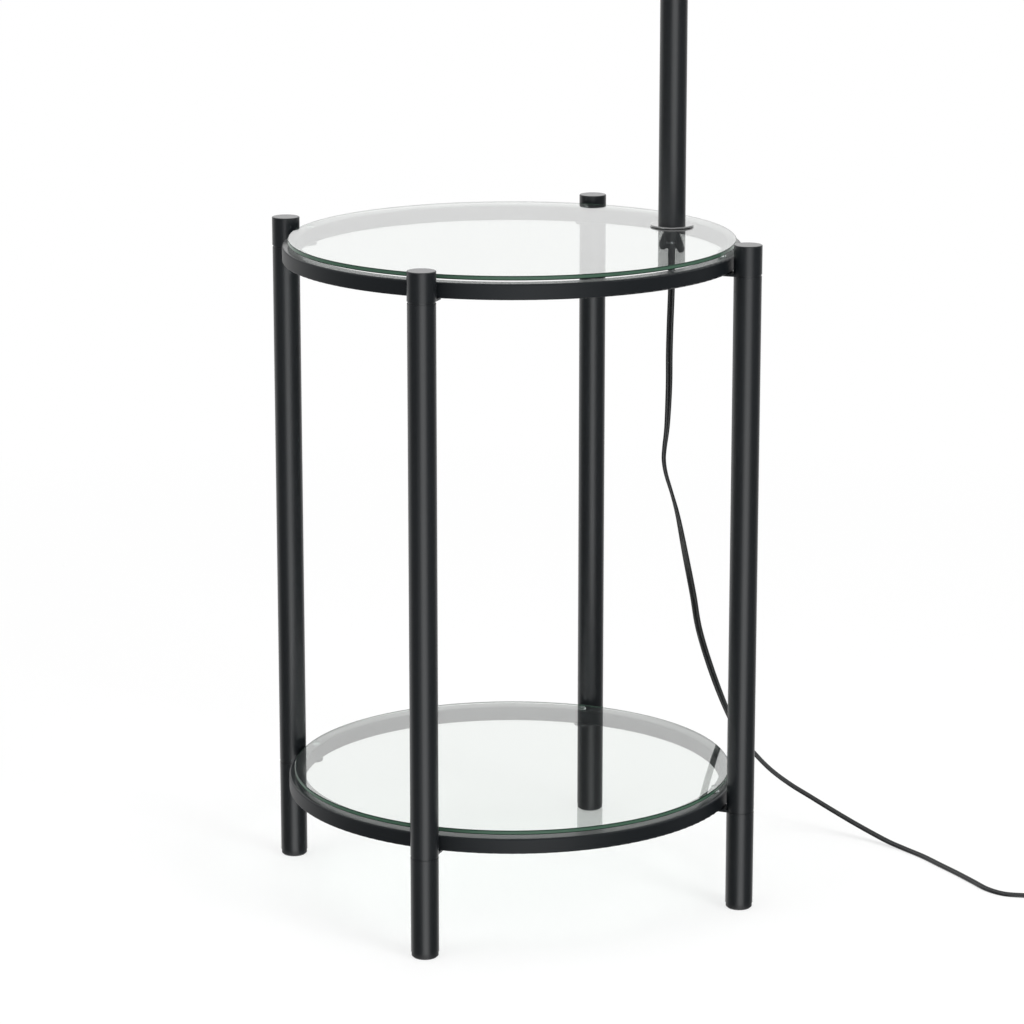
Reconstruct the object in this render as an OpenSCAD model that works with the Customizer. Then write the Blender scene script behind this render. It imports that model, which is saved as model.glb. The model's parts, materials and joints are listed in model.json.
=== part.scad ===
// Floor lamp with a two-shelf round glass table.
// Origin on the floor at the middle of the table, Z up, legs on the diagonals of X and Y.
// The lamp's pole stands on the upper glass near the +X edge.

/* [Table] */
// Height of the leg tops above the floor
table_h = 615; // [580:1:660]
// Height of the leg tops above the underside of the upper ring
head_h = 26; // [22:0.5:40]
// Underside of the lower ring above the floor
lower_ring_z = 94; // [60:1:160]
// Outside diameter of the two shelf rings
ring_od = 414; // [380:1:460]
// Side of the square tube that the rings are rolled from
ring_side = 14; // [11:0.5:18]
// Wall of the rings' square tube
ring_wall = 1.2; // [0.8:0.1:1.8]
// Corner radius of the rings' square tube
ring_corner = 1.5; // [0.5:0.1:2.5]

/* [Legs] */
// Outside diameter of the leg tubes
leg_d = 25; // [20:0.5:30]
// Wall of the leg tubes
leg_wall = 1.2; // [0.8:0.1:2]
// How much wider a leg's head is than its tube
head_step = 0.4; // [0:0.1:1.5]
// Gap between a ring and its legs, which the plates bridge
leg_gap = 2.4; // [1:0.1:5]
// Width of the steel plates welded under the rings
plate_w = 18; // [14:0.5:24]
// Thickness of the plates, which is also the gap that they fill in a leg
plate_t = 2; // [1.5:0.1:3]
// How far a plate shows inside its ring
plate_lip = 1; // [0:0.5:4]
// Diameter of the studs that screw the leg tubes together
stud_d = 8; // [6:0.5:10]
// Length of those studs
stud_l = 22; // [16:0.5:25]
// Length of the threaded inserts in the tube ends
insert_l = 12; // [8:0.5:14]
// Visible height of the foot glides
glide_h = 5; // [3:0.5:10]
// How much thinner a glide is than its leg tube
glide_step = 1; // [0.4:0.1:3]
// Length of the glide's stem inside the foot tube
glide_stem = 12; // [6:0.5:20]

/* [Glass] */
// Thickness of the two round panes
glass_t = 4; // [3:0.5:6]
// How far the edge of the glass stays inside the ring's outer face
glass_inset = 5; // [4:0.1:9]
// Bevel round the edge of the glass
glass_bevel = 0.7; // [0.2:0.1:1.2]
// Height of the clear pads between ring and glass
pad_h = 2.2; // [1:0.1:4]
// Diameter of the clear pads
pad_d = 8; // [6:0.5:10]

/* [Pole] */
// Outside diameter of the pole
pole_d = 25; // [20:0.5:30]
// Wall of the pole
pole_wall = 1.2; // [0.8:0.1:2]
// Length of each of the pole's two tubes
pole_section = 330; // [250:1:420]
// Turn of the pole's place on the glass, away from the X axis
pole_turn = -3.1; // [-15:0.1:15]
// Distance from the glass's edge to the pole's axis
pole_inset = 44.7; // [40:0.1:55]
// Diameter of the flange under the pole
flange_d = 40; // [34:0.5:50]
// Thickness of the flange and of the washer under the glass
flange_t = 1.4; // [1:0.1:3]
// Thickness of the rubber rings on both sides of the glass
gasket_t = 0.5; // [0.4:0.1:2]
// Diameter of the washer under the glass
washer_d = 34; // [28:0.5:44]
// Thread diameter of the hollow nipples that the cord runs through
nipple_d = 10; // [9.5:0.1:12]
// Bore of the nipples
nipple_bore = 7.4; // [7:0.1:8]
// Length of the lower nipple
nipple_l = 37; // [34:0.5:39]
// Thickness of the cap on top of the pole
cap_t = 5; // [3:0.5:10]

/* [Wing nut] */
// Diameter of the wing nut's hub where it meets the washer
nut_hub_d = 16.4; // [15:0.1:20]
// Height of the hub
nut_hub_h = 11; // [8:0.5:12]
// Overall height of the wing nut, wings included
nut_h = 20.5; // [17:0.5:24]
// Overall span of the wings
nut_span = 32; // [29:0.5:40]
// Thickness of the wings at their root
nut_wing_t = 3.4; // [2.5:0.1:5]
// Turn of the wings about the pole's axis
nut_turn = -72; // [-180:1:180]

/* [Socket and bulb] */
// Outside diameter of the lamp socket's shell
socket_d = 33.4; // [32:0.1:38]
// Height of the socket above the harp saddle
socket_h = 60; // [56:1:66]
// Diameter of the switch knob
knob_d = 14; // [10:0.5:20]
// Length of the switch knob
knob_l = 11; // [8:0.5:16]
// Diameter of the switch knob's stem
knob_stem_d = 4; // [3:0.1:5]
// Widest diameter of the bulb
bulb_d = 60; // [50:1:66]
// Height of the bulb's glass
bulb_glass_h = 78; // [70:1:90]

/* [Harp and shade] */
// Height of the harp above the top of the pole
harp_h = 208; // [190:1:230]
// Half the width of the harp at its widest
harp_half_w = 56; // [48:0.5:66]
// Diameter of the harp's wire
harp_wire_d = 2.8; // [2:0.1:3.5]
// Height of the shade
shade_h = 238; // [200:1:260]
// Diameter of the shade at the top
shade_top_d = 300; // [260:1:340]
// Diameter of the shade at the bottom
shade_bottom_d = 330; // [300:1:380]
// Wall of the shade, linen on its backing sheet
shade_wall = 1.2; // [0.8:0.1:2]
// How far the shade's hub lies below its top edge
shade_drop = 22; // [10:1:40]
// Diameter of the shade's wires
shade_wire_d = 3; // [2:0.1:4]
// Diameter of the finial's ball
finial_d = 18; // [14:0.5:24]

/* [Cord and plug] */
// Width of the flat two-core cord
cord_w = 6.4; // [5.5:0.1:6.6]
// Thickness of the cord
cord_t = 3.4; // [3:0.1:3.6]
// Turns of the coil, half of them in each layer
coil_turns = 4; // [4:2:6]
// Radius of the coil's outermost turn at the middle of the cord
coil_r = 40; // [38:0.5:50]
// Least gap between neighbouring turns
coil_gap = 0.6; // [0.5:0.1:1.5]
// Straight end of the coil that leads to the plug
coil_tail = 26; // [26:1:40]
// Length of the plug's body
plug_l = 27; // [22:0.5:34]
// Width of the plug's body at its face
plug_w = 21; // [19:0.5:25]
// Length of the ribbed sleeve where the cord enters the plug
plug_sleeve_l = 14; // [10:0.5:30]
// Length of the plug's blades outside its face
blade_l = 17; // [14:0.5:20]

/* [Hidden] */
$fn = 96;
// Radial play of a screw in its thread, of tubes and their inserts, and of what turns
thread_play = 0.05;
seat_play = 0.1;
run_gap = 0.3;

// Heights of the table, from the floor up
upper_ring_z = table_h - head_h;
lower_glass_z = lower_ring_z + ring_side + pad_h;
upper_glass_z = upper_ring_z + ring_side + pad_h;
glass_top = upper_glass_z + glass_t;

// Radii of the table, from the middle out
ring_r = ring_od / 2;
ring_mid_r = ring_r - ring_side / 2;
ring_inner_r = ring_r - ring_side;
glass_r = ring_r - glass_inset;
leg_circle_r = ring_r + leg_gap + leg_d / 2;
pad_circle_r = glass_r - pad_d / 2 - run_gap;
front_left = -135;
front_right = -45;
back_right = 45;
back_left = 135;
corners = [front_left, front_right, back_right, back_left];
vent_r = 2;

// Leg details
leg_bore_r = leg_d / 2 - leg_wall;
insert_r = leg_bore_r - thread_play;
stud_hole_r = stud_d / 2 + run_gap;
stud_bore_r = stud_d / 2 + thread_play;
head_top_t = 2;
head_round = 0.8;

// The stack at the pole's foot, from the washer under the glass up
pole_r = glass_r - pole_inset;
pole_x = pole_r * cos(pole_turn);
pole_y = pole_r * sin(pole_turn);
nipple_r = nipple_d / 2;
thread_r = nipple_r + thread_play;
glass_hole_r = nipple_r + 1;
under_gasket_z = upper_glass_z - gasket_t;
washer_z = under_gasket_z - flange_t;
flange_z = glass_top + gasket_t;
pole_z = flange_z + flange_t;
pole_insert_l = 14;
insert_set = 0.2;
nipple_top = pole_z + pole_insert_l - 0.6;
nipple_z = nipple_top - nipple_l;
nut_z = washer_z - seat_play;
bush_z = nipple_z - 2;
bush_r = nipple_r + 1;
bush_skirt = 2.4;

// The pole's upper end and the socket
pole_joint_z = pole_z + pole_section;
pole_top = pole_joint_z + pole_section;
pole_bore_r = pole_d / 2 - pole_wall;
saddle_z = pole_top + cap_t;
saddle_t = 1.5;
saddle_w = 8;
saddle_ear_x = 28;
saddle_bend = 8;
saddle_ear_h = 22;
socket_z = saddle_z + saddle_t;
socket_r = socket_d / 2;
socket_cap_h = 17;
socket_neck_h = 6;
socket_shell_z = socket_z + socket_cap_h - 3;
socket_skin = 0.5;
cap_skin = 0.8;
liner_wall = 0.6;
liner_r = socket_r - socket_skin - seat_play;
core_r = liner_r - liner_wall - seat_play;
core_from = 16;
core_h = 20;
core_bottom = socket_z + core_from;
core_top = core_bottom + core_h;
screw_r = 14.2;
screw_wall = 0.4;
screw_bottom = core_top + seat_play;
screw_top = socket_z + socket_h - 3;
knob_z = core_bottom + 0.55 * core_h;
knob_start = socket_r + 3;
nipple2_z = pole_top - pole_insert_l + 1;
nipple2_top = socket_z + socket_neck_h;
inner_cord_top = nipple2_top + 3;

// Bulb, thread pitch of the usual screw base
base_pitch = 3.63;
base_r = 13.1;
base_z = core_top + 3;
base_h = 24;
bulb_z = base_z + base_h;
bulb_r = bulb_d / 2;
bulb_neck_r = 13.6;
bulb_wall = 0.8;

// Harp, sleeves, shade and finial
harp_x = saddle_ear_x + saddle_t + seat_play + harp_wire_d / 2;
harp_top_z = saddle_z + harp_h;
harp_disc_t = 3.6;
harp_disc_r = 7;
stud_r = 3.15;
finial_stud_h = 12;
sleeve_r = 5.6;
sleeve_bore_r = 4.8;
sleeve_h = 14;
sleeve_x = saddle_ear_x + saddle_t / 2 + harp_wire_d / 2;
sleeve_z = saddle_z + saddle_ear_h - sleeve_h;
hub_z = harp_top_z + harp_disc_t + seat_play;
hub_t = 1.6;
hub_r = 14;
shade_top_z = hub_z + shade_drop;
shade_z = shade_top_z - shade_h;
shade_wire_r = shade_wire_d / 2;
shade_top_r = shade_top_d / 2;
shade_bottom_r = shade_bottom_d / 2;
wire_top_circle = shade_top_r - shade_wall - seat_play - shade_wire_r;
wire_bottom_circle = shade_bottom_r - shade_wall - run_gap - shade_wire_r;
hem_h = 8;
hem_t = 0.5;
finial_z = hub_z + hub_t + seat_play;

// The cord's route from the bush to the coil: x, y, z and the plan angle of its broad side.
// It hangs down, swings out between two legs, lands and runs along the floor.
cord_on_floor = cord_t / 2;
coil_entry = [455, -273];
coil_heading = -30;
route = [
    [pole_x, pole_y, bush_z, -25],
    [pole_x, pole_y, bush_z - 14, -25],
    [157, -9, 551, -25],
    [157, -7, 516, -25],
    [157, -6, 489, -20],
    [158, -4, 458, -5],
    [158, -1, 421, 24],
    [157, 2, 399, 42],
    [157, 3, 387, 50],
    [160, 4, 373, 58],
    [167, 5, 353, 68],
    [175, 8, 330, 86],
    [186, 13, 290, 128],
    [199, 22, 249, 150],
    [211, 32, 211, 160],
    [230, 43, 167, 172],
    [249, 48, 125, 200],
    [265, 48, 94, 222],
    [281, 43, 73, 232],
    [294, 35, 58, 230],
    [309, 25, 45, 226],
    [323, 12, 35, 221],
    [337, -5, 25, 216],
    [350, -25, 16, 211],
    [361, -43, 9, 206],
    [369, -63, 4.5, 199],
    [376, -83, 2.2, 191],
    [381, -108, cord_on_floor, 186],
    [383, -137, cord_on_floor, 183],
    [385, -165, cord_on_floor, 182],
    [386, -192, cord_on_floor, 183],
    [387, -215, cord_on_floor, 196],
    [394, -233, cord_on_floor, 220],
    [409, -245, cord_on_floor, 236],
    [428, -257, cord_on_floor, 240],
];
// The coil's first straight starts one cord width before its entry point
coil_lead = cord_w;
route_end = [for (back = [coil_lead + 7, coil_lead])
    [coil_entry[0] - back * cos(coil_heading), coil_entry[1] - back * sin(coil_heading),
     cord_on_floor, coil_heading + 270]];
cord_steps = 2;
coil_rise = cord_t + coil_gap;
coil_pitch = cord_w + coil_gap;
coil_steps = 24;
plug_axis_z = cord_on_floor + coil_rise;
plug_start = coil_tail;
plug_front = plug_start + plug_sleeve_l + plug_l;
blade_t = 1.5;
blade_gap = 12.7;
blade_widths = [6.35, 7.9];
blade_root = 8;

// Small helpers
function unit(v) = v / norm(v);
function mix(a, b, t) = a + (b - a) * t;
function smooth(t) = t * t * (3 - 2 * t);
function arc(centre, r, from, to, steps) =
    [for (i = [0:steps]) centre + r * [cos(mix(from, to, i / steps)), sin(mix(from, to, i / steps))]];

// A Catmull-Rom curve through points of any dimension
function curve_at(a, b, c, d, t) =
    0.5 * (2 * b + (c - a) * t + (2 * a - 5 * b + 4 * c - d) * t * t + (3 * b - a - 3 * c + d) * t * t * t);
function curve(p, steps) = let (n = len(p) - 1)
    concat([for (i = [0:n - 1], k = [0:steps - 1])
        curve_at(i == 0 ? 2 * p[0] - p[1] : p[i - 1], p[i], p[i + 1],
                 i == n - 1 ? 2 * p[n] - p[n - 1] : p[i + 2], k / steps)], [p[n]]);
function length_of(p, i = 1) = i >= len(p) ? 0 : norm(p[i] - p[i - 1]) + length_of(p, i + 1);
function xyz(p) = [for (q = p) [q[0], q[1], q[2]]];

// Rings of points round a path, each in the plane across the path.
// A side vector says where the outline's first axis points.
function rings(path, sides, outline) = let (n = len(path) - 1)
    [for (i = [0:n])
        let (t = unit(path[min(n, i + 1)] - path[max(0, i - 1)]),
             up = unit(cross(t, sides[i])),
             side = cross(up, t))
        for (q = outline) path[i] + side * q[0] + up * q[1]];

// A closed tube of triangles through the rings
module tube_through(points, count, sides) {
    walls = [for (i = [0:count - 2], j = [0:sides - 1])
        let (a = i * sides + j, b = i * sides + (j + 1) % sides)
        each [[a, b + sides, b], [a, a + sides, b + sides]]];
    last = (count - 1) * sides;
    ends = [for (j = [1:sides - 2]) each [[0, j, j + 1], [last, last + j + 1, last + j]]];
    polyhedron(points, concat(walls, ends), convexity = 10);
}

// Plain building shapes
module ring_plate(r, bore, t) {
    difference() {
        cylinder(r = r, h = t);
        translate([0, 0, -1]) cylinder(r = bore, h = t + 2);
    }
}
module rounded_rect(w, h, r) {
    square([w - 2 * r, h], center = true);
    square([w, h - 2 * r], center = true);
    for (x = [-1, 1], y = [-1, 1]) translate([x * (w / 2 - r), y * (h / 2 - r)]) circle(r = r);
}
module tube(r, wall, z, h) {
    translate([0, 0, z]) ring_plate(r, r - wall, h);
}
module at_leg(corner) rotate(corner) translate([leg_circle_r, 0, 0]) children();
module at_legs() for (corner = corners) at_leg(corner) children();
module at_pole() translate([pole_x, pole_y, 0]) children();

// A shelf ring, rolled from square tube, with two vent holes below for the coating
module shelf_ring(z) {
    color("#2b2e30") translate([0, 0, z]) difference() {
        rotate_extrude() translate([ring_mid_r, ring_side / 2]) difference() {
            rounded_rect(ring_side, ring_side, ring_corner);
            square(ring_side - 2 * ring_wall, center = true);
        }
        for (a = [90, 270]) rotate(a) translate([ring_mid_r, 0, -1])
            cylinder(r = vent_r, h = ring_wall + 2);
    }
}
module lower_ring() shelf_ring(lower_ring_z);
module upper_ring() shelf_ring(upper_ring_z);

// A weld plate: a round-ended strip under the ring and a disc that is clamped in the leg
module leg_plate() {
    disc_inset = 0.5;
    end_r = plate_w / 2;
    end_x = ring_inner_r - plate_lip + end_r;
    difference() {
        linear_extrude(plate_t) {
            translate([end_x, 0]) circle(r = end_r);
            translate([end_x, -end_r]) square([leg_circle_r - end_x, plate_w]);
            translate([leg_circle_r, 0]) circle(r = leg_d / 2 - disc_inset);
        }
        translate([leg_circle_r, 0, -1]) cylinder(r = stud_hole_r, h = plate_t + 2);
    }
}
module leg_plates(ring_z) {
    color("#2b2e30") for (corner = corners) rotate(corner) translate([0, 0, ring_z - plate_t]) leg_plate();
}
module lower_plates() leg_plates(lower_ring_z);
module upper_plates() leg_plates(upper_ring_z);

// Legs: a foot tube, a long tube and a head, screwed together through the plates
module foot_tube(corner) {
    color("#26292b") at_leg(corner) tube(leg_d / 2, leg_wall, glide_h, lower_ring_z - plate_t - glide_h);
}
module leg_tube(corner) {
    color("#26292b") at_leg(corner)
        tube(leg_d / 2, leg_wall, lower_ring_z, upper_ring_z - plate_t - lower_ring_z);
}
module leg_head(corner) {
    outer = (leg_d + head_step) / 2;
    color("#303335") at_leg(corner) rotate_extrude() polygon(concat(
        [[0, table_h - head_top_t], [leg_bore_r, table_h - head_top_t], [leg_bore_r, upper_ring_z],
         [outer, upper_ring_z]],
        arc([outer - head_round, table_h - head_round], head_round, 0, 90, 4),
        [[0, table_h]]));
}
module foot_tube_front_left() foot_tube(front_left);
module foot_tube_front_right() foot_tube(front_right);
module foot_tube_back_right() foot_tube(back_right);
module foot_tube_back_left() foot_tube(back_left);
module leg_tube_front_left() leg_tube(front_left);
module leg_tube_front_right() leg_tube(front_right);
module leg_tube_back_right() leg_tube(back_right);
module leg_tube_back_left() leg_tube(back_left);
module leg_head_front_left() leg_head(front_left);
module leg_head_front_right() leg_head(front_right);
module leg_head_back_right() leg_head(back_right);
module leg_head_back_left() leg_head(back_left);

// Threaded inserts: one at each side of every plate
module leg_inserts() {
    color("#8a8d90") at_legs() for (z = [
            lower_ring_z - plate_t - insert_l, lower_ring_z,
            upper_ring_z - plate_t - insert_l, upper_ring_z])
        translate([0, 0, z]) ring_plate(insert_r, stud_bore_r, insert_l);
}
module leg_studs() {
    tip = 0.8;
    color("#9a9da0") at_legs() for (z = [lower_ring_z, upper_ring_z])
        translate([0, 0, z - plate_t / 2 - stud_l / 2]) rotate_extrude() polygon([
            [0, 0], [stud_d / 2 - tip, 0], [stud_d / 2, tip], [stud_d / 2, stud_l - tip],
            [stud_d / 2 - tip, stud_l], [0, stud_l]]);
}

// A foot glide: a chamfered pad with a stem that is pressed into the foot tube
module foot_glides() {
    pad = (leg_d - glide_step) / 2;
    stem = leg_bore_r - seat_play;
    edge = 1.4;
    top = glide_h + glide_stem;
    color("#202224") at_legs() rotate_extrude() polygon([
        [0, 0], [pad - edge, 0], [pad, edge], [pad, glide_h], [stem, glide_h],
        [stem, top - edge], [stem - edge / 2, top], [0, top]]);
}

// Clear pads on a ring, and the panes that rest on them
module glass_pads(z) {
    shoulder = 0.7;
    color("#dfe6e8") for (corner = corners) rotate(corner) translate([pad_circle_r, 0, z])
        cylinder(r1 = pad_d / 2, r2 = pad_d / 2 - shoulder, h = pad_h);
}
module lower_pads() glass_pads(lower_ring_z + ring_side);
module upper_pads() glass_pads(upper_ring_z + ring_side);
module pane(z) {
    translate([0, 0, z]) rotate_extrude() polygon([
        [0, 0], [glass_r - glass_bevel, 0], [glass_r, glass_bevel], [glass_r, glass_t - glass_bevel],
        [glass_r - glass_bevel, glass_t], [0, glass_t]]);
}
module lower_glass() {
    color("#cfe3dc", 0.4) pane(lower_glass_z);
}
module upper_glass() {
    color("#cfe3dc", 0.4) difference() {
        pane(upper_glass_z);
        at_pole() translate([0, 0, upper_glass_z - 1]) cylinder(r = glass_hole_r, h = glass_t + 2);
    }
}

// The pole's foot: flange, rubber rings, washer and the hollow nipple through the glass
module pole_flange() {
    rim = 0.7;
    outer = flange_d / 2;
    color("#2b2e30") at_pole() translate([0, 0, flange_z]) rotate_extrude() polygon(concat(
        [[thread_r, 0], [outer, 0]],
        arc([outer - rim, flange_t - rim], rim, 0, 90, 4),
        [[thread_r, flange_t]]));
}
module top_gasket() {
    inset = 2;
    color("#1c1d1e") at_pole() translate([0, 0, glass_top])
        ring_plate(flange_d / 2 - inset, thread_r + seat_play, gasket_t);
}
module under_gasket() {
    inset = 1.5;
    color("#1c1d1e") at_pole() translate([0, 0, under_gasket_z])
        ring_plate(washer_d / 2 - inset, thread_r + seat_play, gasket_t);
}
module under_washer() {
    edge = 0.4;
    outer = washer_d / 2;
    bore = thread_r + seat_play;
    color("#34383a") at_pole() translate([0, 0, washer_z]) rotate_extrude() polygon([
        [bore, 0], [outer - edge, 0], [outer, edge], [outer, flange_t], [bore, flange_t]]);
}
module foot_nipple() {
    color("#8a8d90") at_pole() tube(nipple_r, nipple_r - nipple_bore / 2, nipple_z, nipple_l);
}

// Wing nut below the washer: a tapered hub with two wings that hang down and out
module nut_button(x, z, r, t) {
    translate([x, 0, -z]) rotate([90, 0, 0]) union() {
        cylinder(r = r, h = t / 2, center = true, $fn = 32);
        cylinder(r = r - t / 4, h = t, center = true, $fn = 32);
    }
}
module wing_nut() {
    tip_r = 4.4;
    tip_x = nut_span / 2 - tip_r;
    tip_z = nut_h - tip_r;
    root_r = 3.2;
    root_x = nut_hub_d / 2 - root_r + 0.9;
    taper = 1.6;
    bevel = 0.5;
    hub_r = nut_hub_d / 2;
    color("#26282a") at_pole() translate([0, 0, nut_z]) rotate(nut_turn) difference() {
        union() {
            translate([0, 0, -nut_hub_h]) rotate_extrude() polygon([
                [0, 0], [hub_r - taper - bevel, 0], [hub_r - taper, bevel],
                [hub_r, nut_hub_h - bevel], [hub_r - bevel, nut_hub_h], [0, nut_hub_h]]);
            for (half_turn = [0, 180]) rotate(half_turn) {
                hull() {
                    nut_button(root_x, root_r + 1, root_r, nut_wing_t);
                    nut_button(mix(root_x, tip_x, 0.55), mix(root_r + 1, tip_z, 0.5), 4, nut_wing_t * 0.85);
                }
                hull() {
                    nut_button(mix(root_x, tip_x, 0.55), mix(root_r + 1, tip_z, 0.5), 4, nut_wing_t * 0.85);
                    nut_button(tip_x, tip_z, tip_r, nut_wing_t * 0.7);
                }
            }
        }
        translate([0, 0, -nut_h - 1]) cylinder(r = thread_r, h = nut_h + 2);
        // Room for the bush between the wings
        translate([0, 0, -nut_h - 1]) cylinder(r = bush_r + run_gap, h = nut_h + 1 - nut_hub_h);
    }
}

// A plastic bush on the nipple's lower end, where the cord comes out
module cord_bush() {
    mouth = cord_w / 2 + seat_play;
    color("#232526") at_pole() translate([0, 0, bush_z]) rotate_extrude() polygon([
        [mouth + 0.5, 0], [bush_r - 0.5, 0], [bush_r, 0.5], [bush_r, nipple_z - bush_z + bush_skirt],
        [nipple_r + thread_play, nipple_z - bush_z + bush_skirt],
        [nipple_r + thread_play, nipple_z - bush_z], [mouth, nipple_z - bush_z], [mouth, 0.5]]);
}

// The pole: two tubes with threaded inserts, joined by a short nipple, with a cap on top
module pole_lower() {
    color("#26292b") at_pole() tube(pole_d / 2, pole_wall, pole_z, pole_section);
}
module pole_upper() {
    color("#26292b") at_pole() tube(pole_d / 2, pole_wall, pole_joint_z, pole_section);
}
module pole_inserts() {
    color("#8a8d90") at_pole() for (z = [
            pole_z, pole_joint_z - pole_insert_l, pole_joint_z, pole_top - pole_insert_l])
        translate([0, 0, z + insert_set])
            ring_plate(pole_bore_r - thread_play, thread_r, pole_insert_l - 2 * insert_set);
}
module pole_coupling() {
    color("#8a8d90") at_pole()
        tube(nipple_r, nipple_r - nipple_bore / 2, pole_joint_z - pole_insert_l + 1, 2 * pole_insert_l - 2);
}
module pole_cap() {
    lip = 0.8;
    outer = pole_d / 2 + lip;
    color("#303335") at_pole() translate([0, 0, pole_top]) rotate_extrude() polygon(concat(
        [[thread_r, 0], [outer, 0]],
        arc([outer - 1.5, cap_t - 1.5], 1.5, 0, 90, 5),
        [[thread_r, cap_t]]));
}
module socket_nipple() {
    color("#8a8d90") at_pole()
        tube(nipple_r, nipple_r - nipple_bore / 2, nipple2_z, nipple2_top - nipple2_z);
}

// The cord inside the pole
module inner_cord() {
    color("#18191a") at_pole() translate([0, 0, bush_z]) rotate(-25)
        linear_extrude(inner_cord_top - bush_z) rounded_rect(cord_w, cord_t, cord_t / 2 - 0.01);
}

// Harp saddle: a strap under the socket, bent up into two ears
module saddle_side() {
    square([saddle_ear_x + saddle_t - saddle_bend, saddle_t]);
    translate([saddle_ear_x + saddle_t - saddle_bend, saddle_bend]) intersection() {
        difference() {
            circle(r = saddle_bend);
            circle(r = saddle_bend - saddle_t);
        }
        translate([0, -saddle_bend]) square(saddle_bend);
    }
    translate([saddle_ear_x, saddle_bend]) square([saddle_t, saddle_ear_h - saddle_bend]);
}
module harp_saddle() {
    boss_r = 10;
    color("#34383a") at_pole() translate([0, 0, saddle_z]) difference() {
        union() {
            rotate([90, 0, 0]) linear_extrude(saddle_w, center = true) union() {
                saddle_side();
                mirror([1, 0]) saddle_side();
            }
            cylinder(r = boss_r, h = saddle_t);
        }
        translate([0, 0, -1]) cylinder(r = thread_r, h = saddle_t + 2);
    }
}

// Harp: one wire that bows round the bulb on each side, with a disc and a stud on top
// Each row is the share of the way out to the widest place and the share of the height
harp_side = [
    [0, 0.043], [0, 0.106], [0, 0.173], [0, 0.226], [0.16, 0.298], [0.68, 0.404],
    [0.96, 0.538], [0.92, 0.683], [0.48, 0.827], [-0.12, 0.923]];
module harp() {
    side_path = concat([for (q = harp_side) [mix(harp_x, harp_half_w, q[0]), 0, q[1] * harp_h]],
                       [[13, 0, harp_h + 0.6], [5, 0, harp_h + harp_disc_t / 2]]);
    other_side = [for (i = [len(side_path) - 1:-1:0]) [-side_path[i][0], 0, side_path[i][2]]];
    path = curve(concat(side_path, other_side), 3);
    outline = [for (a = [22.5:45:337.5]) harp_wire_d / 2 * [cos(a), sin(a)]];
    color("#3a3e40") at_pole() {
        translate([0, 0, saddle_z])
            tube_through(rings(path, [for (q = path) [0, 1, 0]], outline), len(path), 8);
        translate([0, 0, harp_top_z]) cylinder(r = harp_disc_r, h = harp_disc_t);
        translate([0, 0, harp_top_z + harp_disc_t - 1]) cylinder(r = stud_r, h = finial_stud_h + 1);
    }
}
module harp_sleeve(side) {
    edge = 0.4;
    color("#45494b") at_pole() translate([side * sleeve_x, 0, sleeve_z]) rotate_extrude() polygon([
        [sleeve_bore_r, 0], [sleeve_r - edge, 0], [sleeve_r, edge], [sleeve_r, sleeve_h - edge],
        [sleeve_r - edge, sleeve_h], [sleeve_bore_r, sleeve_h]]);
}
module harp_sleeve_left() harp_sleeve(-1);
module harp_sleeve_right() harp_sleeve(1);

// Socket: cap, shell, liner, moulded core, screw shell and centre contact
module socket_cap() {
    neck = 7.6;
    rim = socket_r + seat_play + cap_skin;
    dome = 9;
    bore = thread_r;
    color("#2e3133") at_pole() translate([0, 0, socket_z]) rotate_extrude() polygon(concat(
        [[bore, 0], [neck, 0], [neck, 4]],
        [for (i = [1:6]) [mix(neck, rim, sin(i * 15)), 4 + dome * (1 - cos(i * 15))]],
        [[rim, socket_cap_h], [rim - cap_skin, socket_cap_h]],
        [for (i = [6:-1:1])
            [mix(neck, rim, sin(i * 15)) - cap_skin, 4 + cap_skin + dome * (1 - cos(i * 15))]],
        [[bore, socket_neck_h]]));
}
module socket_shell() {
    roll = 0.5;
    roll_h = 2;
    h = socket_z + socket_h - socket_shell_z;
    color("#2e3133") at_pole() difference() {
        translate([0, 0, socket_shell_z]) rotate_extrude() polygon([
            [socket_r - socket_skin, 0], [socket_r, 0], [socket_r, h - roll_h], [socket_r + roll, h],
            [socket_r + roll - socket_skin, h], [socket_r - socket_skin, h - roll_h]]);
        knob_hole();
    }
}
module knob_hole() {
    translate([0, -core_r + 0.5, knob_z]) rotate([90, 0, 0]) cylinder(r = knob_stem_d / 2 + 1, h = 10);
}
module socket_liner() {
    color("#c9b48a") at_pole() difference() {
        tube(liner_r, liner_wall, core_bottom, screw_top - core_bottom);
        knob_hole();
    }
}
module socket_core() {
    stem_bore = knob_stem_d / 2 + 0.06;
    pocket = 8;
    color("#1b1b1c") at_pole() difference() {
        translate([0, 0, core_bottom]) cylinder(r = core_r, h = core_top - core_bottom);
        translate([0, 0, knob_z]) rotate([90, 0, 0]) cylinder(r = stem_bore, h = core_r + 1);
        for (side = [-1, 1]) translate([side * pocket, 0, core_bottom - 1]) cylinder(r = 1.6, h = 6);
    }
}
function ripple(z, pitch) = 0.35 * (1 + cos(360 * z / pitch)) / 2;
module screw_shell() {
    h = screw_top - screw_bottom;
    steps = 36;
    floor_r = 5;
    color("#c6a65a") at_pole() translate([0, 0, screw_bottom]) rotate_extrude() polygon(concat(
        [[floor_r, 0]],
        [for (i = [0:steps]) [screw_r - ripple(i * h / steps, base_pitch), i * h / steps]],
        [for (i = [steps:-1:1]) [screw_r - screw_wall - ripple(i * h / steps, base_pitch), i * h / steps]],
        [[screw_r - screw_wall - 0.35, screw_wall], [floor_r, screw_wall]]));
}
module centre_contact() {
    color("#c6a65a") at_pole() translate([0, 0, core_top]) rotate_extrude() polygon([
        [0, 0], [3.2, 0], [3.2, 1.2], [2, 2], [0, 2]]);
}
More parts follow.
